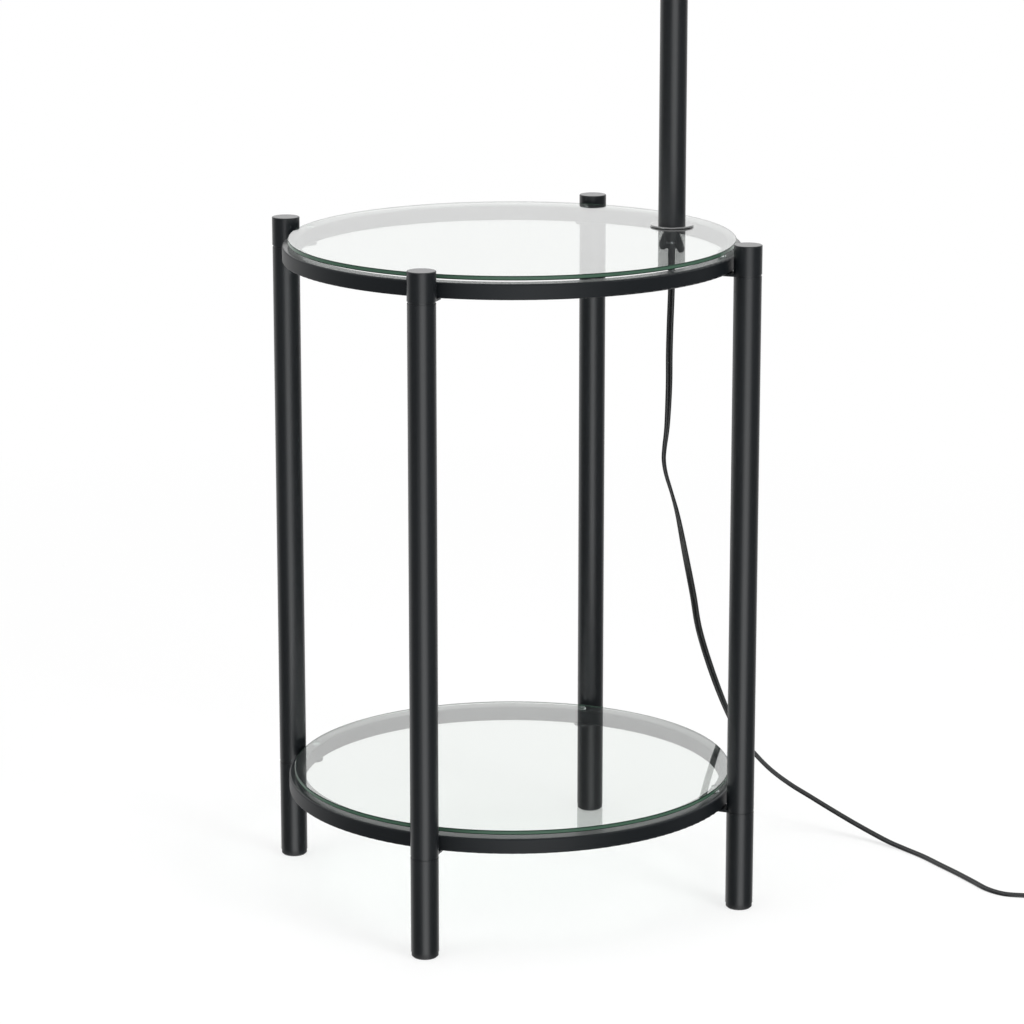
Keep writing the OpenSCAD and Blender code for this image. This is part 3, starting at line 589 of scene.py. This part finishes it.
@dataclass
class Studio:
    """A pale floor that runs out of view, a white surround and soft lamps.

    Below the horizon gloss sees a dim surround with one bright soft sector, which draws a streak down each tube,
    and a broad faint glow on the far side of it.

    Attributes:
        floor_size: Side of the floor.
        lit_share: How much of the light and shadow on the floor shows near the lamp.
        fade: Distances from the lamp's foot between which that share fades out.
        surround: Strength of the surround as a light.
        streak_heading: Plan angle of the bright sector.
        streak_edge: Cosine of the angle from that heading at which the sector begins.
        glow_cosines: Cosines at which the glow is full and at which it is gone.
        horizon: Upward part of a direction over which gloss turns to white.
        dim: What gloss sees outside the sector.
        bright: What it sees in the middle of the sector.
        glow: What the glow adds.
        aim: Where the lamps point.
    """

    floor_size: float = 60.0
    lit_share: float = 0.3
    fade: tuple[float, float] = (0.7, 1.9)
    surround: float = 0.55
    streak_heading: float = math.radians(-105.5)
    streak_edge: float = 0.84
    glow_cosines: tuple[float, float] = (-0.8, -0.1)
    horizon: float = 0.15
    dim: float = 0.15
    bright: float = 2.7
    glow: float = 0.9
    aim: tuple[float, float, float] = (0.0, 0.0, 0.5)

    def seen(self, tree: bpy.types.NodeTree, *kinds: str) -> bpy.types.NodeSocket:
        """Picks out kinds of ray.

        Args:
            tree: The node tree.
            kinds: Names of the Light Path node's outputs.

        Returns:
            An output that is 1 for these kinds and 0 for others.
        """
        path = add_node(tree, "ShaderNodeLightPath")
        found = path.outputs[kinds[0]]
        for kind in kinds[1:]:
            found = add_node(tree, "ShaderNodeMath", {0: found, 1: path.outputs[kind]}, operation="MAXIMUM").outputs[0]
        return found

    def floor(self) -> None:
        """Makes the floor, which keeps the lamp's shadow near it and is white further out.

        Gloss looks through it to the surround.
        """
        half = self.floor_size / 2
        mesh = bpy.data.meshes.new("floor")
        mesh.from_pydata([(-half, -half, 0), (half, -half, 0), (half, half, 0), (-half, half, 0)], [], [(0, 1, 2, 3)])
        made = material_of("painted_floor", {
            "Base Color": linear("#fdfdfd"), "Roughness": 0.9, "Specular IOR Level": 0.0})
        tree = made.node_tree
        place = add_node(tree, "ShaderNodeTexCoord").outputs["Object"]
        distance = add_node(tree, "ShaderNodeVectorMath", {0: place}, operation="LENGTH").outputs["Value"]
        share = add_node(tree, "ShaderNodeMapRange", {
            "Value": distance, "From Min": self.fade[0], "From Max": self.fade[1],
            "To Min": 1 - self.lit_share, "To Max": 1.0}).outputs["Result"]
        direct = self.seen(tree, "Is Camera Ray", "Is Transmission Ray")
        factor = add_node(tree, "ShaderNodeMath", {0: direct, 1: share}, operation="MULTIPLY").outputs[0]
        white = add_node(tree, "ShaderNodeEmission", {"Color": (1, 1, 1, 1), "Strength": 1.0})
        mixed = add_node(tree, "ShaderNodeMixShader", {
            0: factor, 1: tree.nodes[SHADER].outputs[0], 2: white.outputs[0]})
        tree.links.new(mixed.outputs[0], tree.nodes["Material Output"].inputs["Surface"])
        mesh.materials.append(made)
        floor = bpy.data.objects.new("floor", mesh)
        bpy.context.scene.collection.objects.link(floor)
        floor.visible_glossy = False

    def world(self) -> None:
        """Makes the surround: white where it is seen and through glass, and dimmer as a light.

        In gloss it is white above the horizon. Below, its strength follows c, the cosine of the angle round from
        the streak's heading: it rises from dim to bright as c goes from the streak's edge to 1, and the glow is
        added as c goes from the second of its cosines to the first.
        """
        world = bpy.data.worlds.new("surround")
        world.use_nodes = True
        tree = world.node_tree
        direct = self.seen(tree, "Is Camera Ray", "Is Transmission Ray")
        mirror = add_node(tree, "ShaderNodeMath", {0: self.seen(tree, "Is Glossy Ray"), 1: direct},
                          operation="SUBTRACT", use_clamp=True).outputs[0]
        way = add_node(tree, "ShaderNodeTexCoord").outputs["Generated"]
        flat = add_node(tree, "ShaderNodeVectorMath", {0: way, 1: (1, 1, 0)}, operation="MULTIPLY").outputs[0]
        unit = add_node(tree, "ShaderNodeVectorMath", {0: flat}, operation="NORMALIZE").outputs[0]
        streak = (math.cos(self.streak_heading), math.sin(self.streak_heading), 0)
        c = add_node(tree, "ShaderNodeVectorMath", {0: unit, 1: streak}, operation="DOT_PRODUCT").outputs["Value"]
        lobe = add_node(tree, "ShaderNodeMapRange", {
            "Value": c, "From Min": self.streak_edge, "From Max": 1.0, "To Min": self.dim, "To Max": self.bright},
            interpolation_type="SMOOTHSTEP").outputs["Result"]
        glow = add_node(tree, "ShaderNodeMapRange", {
            "Value": c, "From Min": self.glow_cosines[0], "From Max": self.glow_cosines[1],
            "To Min": self.glow, "To Max": 0.0}, interpolation_type="SMOOTHSTEP").outputs["Result"]
        below = add_node(tree, "ShaderNodeMath", {0: lobe, 1: glow}, operation="ADD").outputs[0]
        height = add_node(tree, "ShaderNodeSeparateXYZ", {0: way}).outputs["Z"]
        above = add_node(tree, "ShaderNodeMapRange", {
            "Value": height, "From Min": 0.0, "From Max": self.horizon},
            interpolation_type="SMOOTHSTEP").outputs["Result"]
        gloss = add_node(tree, "ShaderNodeMix", {"Factor": above, 2: below, 3: 1.0}).outputs[0]
        plain = add_node(tree, "ShaderNodeMapRange", {"Value": direct, "To Min": self.surround}).outputs["Result"]
        strength = add_node(tree, "ShaderNodeMix", {"Factor": mirror, 2: plain, 3: gloss}).outputs[0]
        tree.nodes["Background"].inputs["Color"].default_value = (1, 1, 1, 1)
        tree.links.new(strength, tree.nodes["Background"].inputs["Strength"])
        bpy.context.scene.world = world

    def lamp(self, name: str, place: tuple[float, float, float], size: tuple[float, float], power: float) -> None:
        """Adds a soft box that faces the aim and isn't seen in gloss.

        Args:
            name: The lamp's name.
            place: Where it stands.
            size: Its width and height.
            power: Its power in watts.
        """
        data = bpy.data.lights.new(name, "AREA")
        data.shape = "RECTANGLE"
        data.size, data.size_y = size
        data.energy = power
        lamp = bpy.data.objects.new(name, data)
        lamp.location = place
        lamp.visible_glossy = False
        lamp.rotation_euler = (Vector(place) - Vector(self.aim)).to_track_quat("Z", "Y").to_euler()
        bpy.context.scene.collection.objects.link(lamp)

    def build(self) -> None:
        """Makes the stage and lights it."""
        self.floor()
        self.world()
        self.lamp("key", place=(1.2, -3.4, 2.4), size=(1.2, 1.6), power=60)
        self.lamp("fill", place=(-3.4, -0.6, 1.8), size=(1.6, 2.4), power=25)
        self.lamp("top", place=(0.0, 0.0, 4.0), size=(2.4, 2.4), power=60)
        bpy.context.scene.view_settings.view_transform = "Standard"


@dataclass
class Pane:
    """One round pane of float glass with a bevelled rim, and perhaps a hole for the pole.

    Attributes:
        node: The CAD node that it stands for.
        hole: X and Y of the hole.
        hole_radius: Radius of the hole.
        bevel: Width and height of each bevel.
        spread: Where the rings of a face lie, as shares of the way from the hole to the rim.
        bevel_mark: Mark of a bevel's outer edge, where the middle of the rim has 1 and the faces 0.
        segments: Steps round the rim.
    """

    node: str
    hole: tuple[float, float] | None = None
    hole_radius: float = 6 * MM
    bevel: float = 0.7 * MM
    spread: tuple[float, ...] = (0.0, 0.02, 0.5, 1.0)
    bevel_mark: float = 0.16
    segments: int = 256

    def build(self, glass: bpy.types.Material, edge: bpy.types.Material) -> None:
        """Makes the pane in the place of its CAD node.

        The rim's points lie where rays from the hole's middle, or from the pane's own, meet the rim circle: the ray
        from h along the unit vector u reaches radius R after t = sqrt((h . u)^2 - |h|^2 + R^2) - h . u.

        Args:
            glass: The clear faces' finish.
            edge: The rim's finish.
        """
        low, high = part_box(self.node)
        radius = (high.x - low.x) / 2
        middle = np.array(middle_of(self.node))
        start = np.array(self.hole or middle) - middle
        angle = np.linspace(0, TURN, self.segments, endpoint=False)
        ray = np.stack([np.cos(angle), np.sin(angle)], -1)
        along = ray @ start
        reach = np.sqrt(along ** 2 - start @ start + radius ** 2) - along
        out = (start + ray * reach[:, None]) / radius
        inner = start + ray * (self.hole_radius if self.hole else 0.0)
        outer = out * (radius - self.bevel)

        def ring(flat: np.ndarray, height: float) -> np.ndarray:
            """Lifts a flat ring of points to a height."""
            return np.column_stack([flat + middle, np.full(len(flat), height)])

        grids = [Grid(np.stack([ring(inner + (outer - inner) * share, height) for share in self.spread]))
                 for height in (low.z, high.z)]
        if self.hole:
            grids.append(Grid(np.stack([ring(inner, height) for height in (low.z, high.z)])))
        levels = [(radius - self.bevel, low.z), (radius, low.z + self.bevel), (radius, (low.z + high.z) / 2),
                  (radius, high.z - self.bevel), (radius - self.bevel, high.z)]
        marks = np.array([0.0, self.bevel_mark, 1.0, self.bevel_mark, 0.0])
        grids.append(Grid(np.stack([ring(out * wide, height) for wide, height in levels]), material=1,
                          marks=marks[:, None, None] * [1.0, 0.0, 0.0]))
        piece = make_piece(f"{self.node}_pane", grids, [glass, edge], Body.STAND)
        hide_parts(self.node)


@dataclass
class Cord:
    """The flat two-core cord: a hanging run, a coil in two layers and the plug's end.

    Attributes:
        width: The cord's width across both cores.
        thickness: Its thickness, which is a core's diameter.
        groove: Depth of the groove between the cores, on each face.
        leads: How far before the coil the run's last two points lie.
        coil_entry: X and Y where the coil begins.
        coil_heading: Plan angle of the cord there.
        coil_radius: Radius of the outer turns.
        coil_turns: Turns of the coil, both layers together.
        climb: Turns that the cord takes from the first layer to the second.
        gap: Room between turns and between layers.
        tail: Length of the straight end, into the plug.
        tail_points: Points of the straight end.
        run_steps: Steps between two points of the run.
    """

    width: float = 6.4 * MM
    thickness: float = 3.4 * MM
    groove: float = 0.55 * MM
    leads: tuple[float, float] = (13.4 * MM, 6.4 * MM)
    coil_entry: tuple[float, float] = (455 * MM, -273 * MM)
    coil_heading: float = math.radians(-30)
    coil_radius: float = 40 * MM
    coil_turns: int = 4
    climb: float = 0.5
    gap: float = 0.6 * MM
    tail: float = 26 * MM
    tail_points: int = 13
    run_steps: int = 12

    def route(self, exit_point: Vector) -> np.ndarray:
        """Lists the hanging run's points, down the pole and over the floor to the coil.

        Args:
            exit_point: Where the cord leaves the pole.

        Returns:
            A row for each point: its place in millimetres and the plan angle of the broad side in degrees.
        """
        top = exit_point / MM
        floor = self.thickness / 2 / MM
        points = [
            (top.x, top.y, top.z, -25), (top.x, top.y, top.z - 14, -25), (157, -9, 551, -25), (157, -7, 516, -25),
            (157, -6, 489, -20), (158, -4, 458, -5), (158, -1, 421, 24), (157, 2, 399, 42), (157, 3, 387, 50),
            (160, 4, 373, 58), (167, 5, 353, 68), (175, 8, 330, 86), (186, 13, 290, 128), (199, 22, 249, 150),
            (211, 32, 211, 160), (230, 43, 167, 172), (249, 48, 125, 200), (265, 48, 94, 222), (281, 43, 73, 232),
            (294, 35, 58, 230), (309, 25, 45, 226), (323, 12, 35, 221), (337, -5, 25, 216), (350, -25, 16, 211),
            (361, -43, 9, 206), (369, -63, 4.5, 199), (376, -83, 2.2, 191), (381, -108, floor, 186),
            (383, -137, floor, 183), (385, -165, floor, 182), (386, -192, floor, 183), (387, -215, floor, 196),
            (394, -233, floor, 220), (409, -245, floor, 236), (428, -257, floor, 240)]
        # The broad side is three quarters of a turn on from the heading, where the run's angles end.
        side = math.degrees(self.coil_heading) + 270
        for back in self.leads:
            points.append(((self.coil_entry[0] - back * math.cos(self.coil_heading)) / MM,
                           (self.coil_entry[1] - back * math.sin(self.coil_heading)) / MM, floor, side))
        return np.array(points)

    def coil(self, steps: int = 96) -> tuple[np.ndarray, np.ndarray]:
        """Winds the coil.

        The radius shrinks by one pitch a turn to the middle turn and then grows again, and round the middle the
        cord climbs one layer on a smooth step.

        Args:
            steps: Points of a turn.

        Returns:
            The path and the side vector at each of its points.
        """
        turn = np.linspace(0, self.coil_turns, self.coil_turns * steps + 1)
        from_middle = turn - self.coil_turns / 2
        radius = self.coil_radius - (self.width + self.gap) * (self.coil_turns / 2 - np.abs(from_middle))
        layer = smooth_step(np.clip(from_middle / self.climb + 0.5, 0, 1))
        low, rise = self.thickness / 2, self.thickness + self.gap
        wound = np.stack([radius * np.sin(TURN * turn), radius * np.cos(TURN * turn) - self.coil_radius,
                          low + rise * layer], -1)
        inwards = np.stack([-wound[:, 0], -self.coil_radius - wound[:, 1], np.zeros(len(turn))], -1)
        inwards /= np.linalg.norm(inwards, axis=1, keepdims=True)
        straight = np.linspace(0, self.tail, self.tail_points + 1)[1:]
        tail = np.stack([straight, np.zeros_like(straight), np.full_like(straight, low + rise)], -1)
        path = np.concatenate([wound, tail])
        sides = np.concatenate([inwards, np.tile([0.0, -1.0, 0.0], (self.tail_points, 1))])
        c, s = math.cos(self.coil_heading), math.sin(self.coil_heading)
        turned = np.array([[c, s, 0], [-s, c, 0], [0, 0, 1]])
        return path @ turned + np.array([*self.coil_entry, 0]), sides @ turned

    def outline(self, steps: int = 12) -> np.ndarray:
        """Draws the flat cord's outline: two round cores with a groove between them on both faces.

        Each half of the outline runs round a circle as wide as the cord is thick. Between the circle's middle and
        the cord's, its height is the circle's less the groove's depth times (1 - x / centre)^3.

        Args:
            steps: Points of a quarter circle.

        Returns:
            A row for each point, across and up.
        """
        r = self.thickness / 2
        centre = self.width / 2 - r
        angle = np.linspace(-math.pi / 2, math.pi / 2, 2 * steps + 1)
        core = np.stack([centre + r * np.cos(angle), r * np.sin(angle)], -1)
        inner = np.linspace(centre, 0, steps + 1)[1:-1]
        web = np.sqrt(r * r - (inner - centre) ** 2) - self.groove * (1 - inner / centre) ** 3
        right = np.concatenate([core, np.stack([inner, web], -1)])
        return np.concatenate([right, -right])

    def build(self, jacket: bpy.types.Material) -> None:
        """Makes the cord as one tube and logs its length.

        Args:
            jacket: Its finish.
        """
        exit_point = Vector((*middle_of("inner_cord"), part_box("inner_cord")[0].z))
        run = rounded(self.route(exit_point), self.run_steps)
        heading = np.radians(run[:, 3])
        run_sides = np.stack([np.cos(heading), np.sin(heading), np.zeros(len(run))], -1)
        wound, wound_sides = self.coil()
        path = np.concatenate([run[:, :3] * MM, wound])
        sides = np.concatenate([run_sides, wound_sides])
        rings = capped(carried(path, sides, self.outline()))
        piece = make_piece("flat_cord", [Grid(rings)], [jacket], Body.STAND)
        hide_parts("cord_run", "cord_coil")
        length = float(np.linalg.norm(np.diff(path, axis=0), axis=1).sum())
        LOG.info("cord length %.3f m", length)


@dataclass
class Shade:
    """The drum shade's cover: linen on a backing sheet, with a taped hem at each end and one lapped seam.

    Attributes:
        bottom_radius: Outer radius of the plain cloth at the bottom.
        top_radius: The same at the top.
        wall: Thickness of cloth and backing together.
        hem: Height of each hem.
        proud: How far a hem stands out.
        edge: Height over which a hem's end rounds and its step rises.
        second: Height of the hem's second level.
        clear: Room between a hem and the plain cloth's first level.
        levels: Levels of the plain cloth.
        fold_points: Points round each end.
        inside_levels: Levels of the inner face.
        lap: Thickness that the lapped seam adds.
        lap_heading: Plan angle of the seam's cut edge.
        seam: Angle that the cut edge takes up.
        segments: Steps round the shade.
    """

    bottom_radius: float = 165 * MM
    top_radius: float = 150 * MM
    wall: float = 1.2 * MM
    hem: float = 8 * MM
    proud: float = 0.5 * MM
    edge: float = 0.6 * MM
    second: float = 2 * MM
    clear: float = 6 * MM
    levels: int = 12
    fold_points: int = 9
    inside_levels: int = 6
    lap: float = 0.35 * MM
    lap_heading: float = math.radians(75)
    seam: float = 0.002
    segments: int = 240

    def cone(self, z: np.ndarray, height: float) -> np.ndarray:
        """Gives the plain cone's radius at each height z of a shade as high as height."""
        return self.bottom_radius + (self.top_radius - self.bottom_radius) * z / height

    def outside(self, height: float) -> np.ndarray:
        """Draws the outer profile, from inside the bottom edge round the cloth to inside the top edge.

        The cone's radius at height z is the bottom radius plus the taper times z. A hem stands proud of it by a
        smooth step, and each end is half an ellipse as wide as the wall and its hem.

        Args:
            height: The shade's height.

        Returns:
            Radius and height of each point.
        """
        fold = np.linspace(0, math.pi, self.fold_points)
        across, along = (1 - np.cos(fold)) / 2, self.edge * (1 - np.sin(fold))
        thick = self.wall + self.proud
        up = np.array([self.edge, self.second, self.hem - self.edge, self.hem - self.edge / 2, self.hem,
                       self.hem + self.edge / 3])
        inset = self.hem + self.clear
        z = np.concatenate([up, np.linspace(inset, height - inset, self.levels), (height - up)[::-1]])
        from_end = np.minimum(z, height - z)
        step = smooth_step(np.clip((self.hem + self.edge / 3 - from_end) / self.edge, 0, 1))
        radius = self.cone(z, height) + self.proud * step
        bottom = np.stack([self.bottom_radius - self.wall + thick * across, along], -1)
        top = np.stack([self.top_radius + self.proud - thick * across, height - along], -1)
        return np.concatenate([bottom[:-1], np.stack([radius, z], -1), top[1:]])

    def build(self, cloth: bpy.types.Material, backing: bpy.types.Material) -> None:
        """Makes the cover in the place of its CAD node.

        Round the shade the seam adds the lap's thickness at its cut edge, which fades over a quarter turn.

        Args:
            cloth: The outside's finish.
            backing: The inside's finish.
        """
        low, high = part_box("shade_cloth")
        height = high.z - low.z
        around = np.linspace(0, TURN - self.seam, self.segments)
        rise = self.lap * (1 - np.clip(around / (TURN / 4), 0, 1)) ** 2
        profile = self.outside(height)
        slant = np.concatenate([[0], np.cumsum(np.linalg.norm(np.diff(profile, axis=0), axis=1))])
        outer_share = ((profile[:, 0] - self.cone(profile[:, 1], height)) / self.wall + 1).clip(0, 1)
        outer = lathe(profile[:, :1] + rise * outer_share[:, None], low.z + profile[:, 1:],
                      middle_of("shade_cloth"), self.lap_heading + around)
        marks = np.stack(np.broadcast_arrays(around * self.bottom_radius, slant[:, None], 0.0), -1)
        inner = np.stack([outer[-1] + (outer[0] - outer[-1]) * share
                          for share in np.linspace(0, 1, self.inside_levels)])
        piece = make_piece("shade_linen", [Grid(outer, marks=marks), Grid(inner, material=1)], [cloth, backing],
                           Body.SHADE)
        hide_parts("shade_cloth")


@dataclass
class Envelope:
    """The bulb's frosted glass: a neck that swells to a ball.

    Attributes:
        neck: Radius of the neck.
        wall: Thickness of the glass.
        steps: Points of the neck's swell, and as many of the quarter circle above it.
        segments: Steps round the bulb.
    """

    neck: float = 13.6 * MM
    wall: float = 0.8 * MM
    steps: int = 40
    segments: int = 96

    def outline(self, radius: float, height: float, inset: float) -> np.ndarray:
        """Draws the profile from the neck to the top.

        With t from 0 to 1 up to the ball's middle, the radius is t^2 (3 - 2t) of the way from the neck's to the
        ball's. Above, a quarter circle closes the top.

        Args:
            radius: The ball's radius.
            height: Height of the whole envelope.
            inset: How far the points lie inside the outer face.

        Returns:
            Radius and height of each point.
        """
        t = np.linspace(0, 1, self.steps, endpoint=False)
        swell = self.neck + (radius - self.neck) * smooth_step(t) - inset
        angle = np.linspace(0, math.pi / 2, self.steps)
        ball = radius - inset
        return np.concatenate([np.stack([swell, (height - radius) * t], -1),
                               np.stack([ball * np.cos(angle), height - radius + ball * np.sin(angle)], -1)])

    def build(self, frosted: bpy.types.Material) -> None:
        """Makes the envelope in the place of its CAD node, with its wall's thickness.

        Args:
            frosted: Its finish.
        """
        low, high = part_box("bulb_glass")
        radius, height = (high.x - low.x) / 2, high.z - low.z
        profile = np.concatenate([self.outline(radius, height, self.wall)[::-1], self.outline(radius, height, 0.0)])
        wound = lathe(profile[:, :1], low.z + profile[:, 1:], middle_of("bulb_glass"),
                      np.linspace(0, TURN, self.segments, endpoint=False))
        piece = make_piece("bulb_envelope", [Grid(wound)], [frosted], Body.BULB)
        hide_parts("bulb_glass")


def main() -> None:
    """Builds the stage, the pieces and their finishes in order."""
    View().build()
    Studio().build()
    steel = PowderCoat().build()
    glass = FloatGlass().build()
    # Flexible PVC, extruded: black with a soft gloss.
    pvc = PlainFinish("flexible_pvc", "#1b1d1e", "#151617", 0.32, 1.5, 0.08).build()
    Cord().build(pvc)
    rim = GroundEdge().build()
    Pane("lower_glass").build(glass, rim)
    Pane("upper_glass", hole=middle_of("pole_flange")).build(glass, rim)
    linen = Linen().build()
    # Styrene sheet, rolled: smooth, warm white and satin.
    styrene = PlainFinish("styrene_sheet", "#efece3", "#f6f3ea", 0.5, 3.0, 0.03).build()
    Shade().build(linen, styrene)
    # Soda glass, etched inside: an even soft white.
    frosted = PlainFinish("frosted_soda_glass", "#f3f1ea", "#fbfaf6", 0.35, 2.0, 0.03).build()
    Envelope().build(frosted)
    finishes = {
        "black_steel": steel,
        # Steel, zinc plated: a cool grey metal, a little cloudy.
        "zinc_steel": PlainFinish("zinc_plated_steel", "#a9adb0", "#8f9396", 0.34, 0.6, 0.1, metallic=1.0).build(),
        # Die-cast zinc, painted: dull black with a fine grain.
        "black_casting": PlainFinish("painted_zinc_casting", "#1c1e20", "#26292b", 0.5, 0.9, 0.25).build(),
        # Nylon, moulded: dull black, faintly mottled.
        "black_nylon": PlainFinish("moulded_nylon", "#17181a", "#202224", 0.55, 0.8, 0.1).build(),
        # Phenolic resin, moulded: black and fairly glossy.
        "black_phenolic": PlainFinish("moulded_phenolic", "#141415", "#1b1b1c", 0.3, 0.8, 0.05).build(),
        # Silicone, moulded clear: colourless with a slight haze.
        "clear_pad": PlainFinish("clear_silicone", "#e8f0ee", "#f4f8f7", 0.25, 1.0, 0.05, transmission=0.9,
                                 ior=1.41).build(),
        # Nitrile rubber, moulded: matt black.
        "black_rubber": PlainFinish("nitrile_rubber", "#151515", "#1e1e1e", 0.75, 0.5, 0.1).build(),
        "glass": glass,
        # Vulcanised fibre, cut from sheet: dull brown card.
        "liner_card": PlainFinish("vulcanised_fibre", "#b09468", "#8f764f", 0.8, 0.7, 0.2).build(),
        # Brass, drawn: a yellow metal with a soft gloss.
        "brass": PlainFinish("drawn_brass", "#e6c276", "#cfa558", 0.32, 0.5, 0.06, metallic=1.0).build(),
        # Aluminium, rolled: a pale grey metal with a soft gloss.
        "bulb_metal": PlainFinish("rolled_aluminium", "#c4c7ca", "#aeb1b4", 0.3, 0.5, 0.06, metallic=1.0).build(),
        "frosted_glass": frosted,
        "linen": linen,
        # Steel wire, dipped in white plastic: smooth and off-white.
        "white_wire": PlainFinish("coated_wire", "#dcdbd6", "#e8e7e2", 0.4, 1.0, 0.05).build(),
        "cord_jacket": pvc,
    }
    # The same coat where level faces show: on flat rolled bar, and on the turned tops of the legs.
    ring_steel = PowderCoat("powder_coated_flat_steel", roughness=0.48, level=0.22, flow=0.65).build()
    head_steel = PowderCoat("powder_coated_turned_steel", level=0.42, flow=0.55).build()
    own_finishes = {
        # Enamel, baked on the spun flange: black with a mirror's gloss.
        "pole_flange": PlainFinish("gloss_enamel", "#101112", "#161718", 0.08, 2.0, 0.02, ior=2.0, coat=1.0,
                                   coat_ior=2.0).build(),
        "lower_ring": ring_steel,
        "upper_ring": ring_steel,
        **{f"leg_head_{corner}": head_steel for corner in ("front_left", "front_right", "back_right", "back_left")},
    }
    for part in frame["record"]["subparts"]:
        node = frame["nodes"][part["node"]]
        node.data.materials.clear()
        node.data.materials.append(own_finishes.get(part["node"]) or finishes[part["material_slot"]])


if __name__ == "__main__":
    logging.basicConfig(level=logging.INFO, format="%(message)s")
    main()
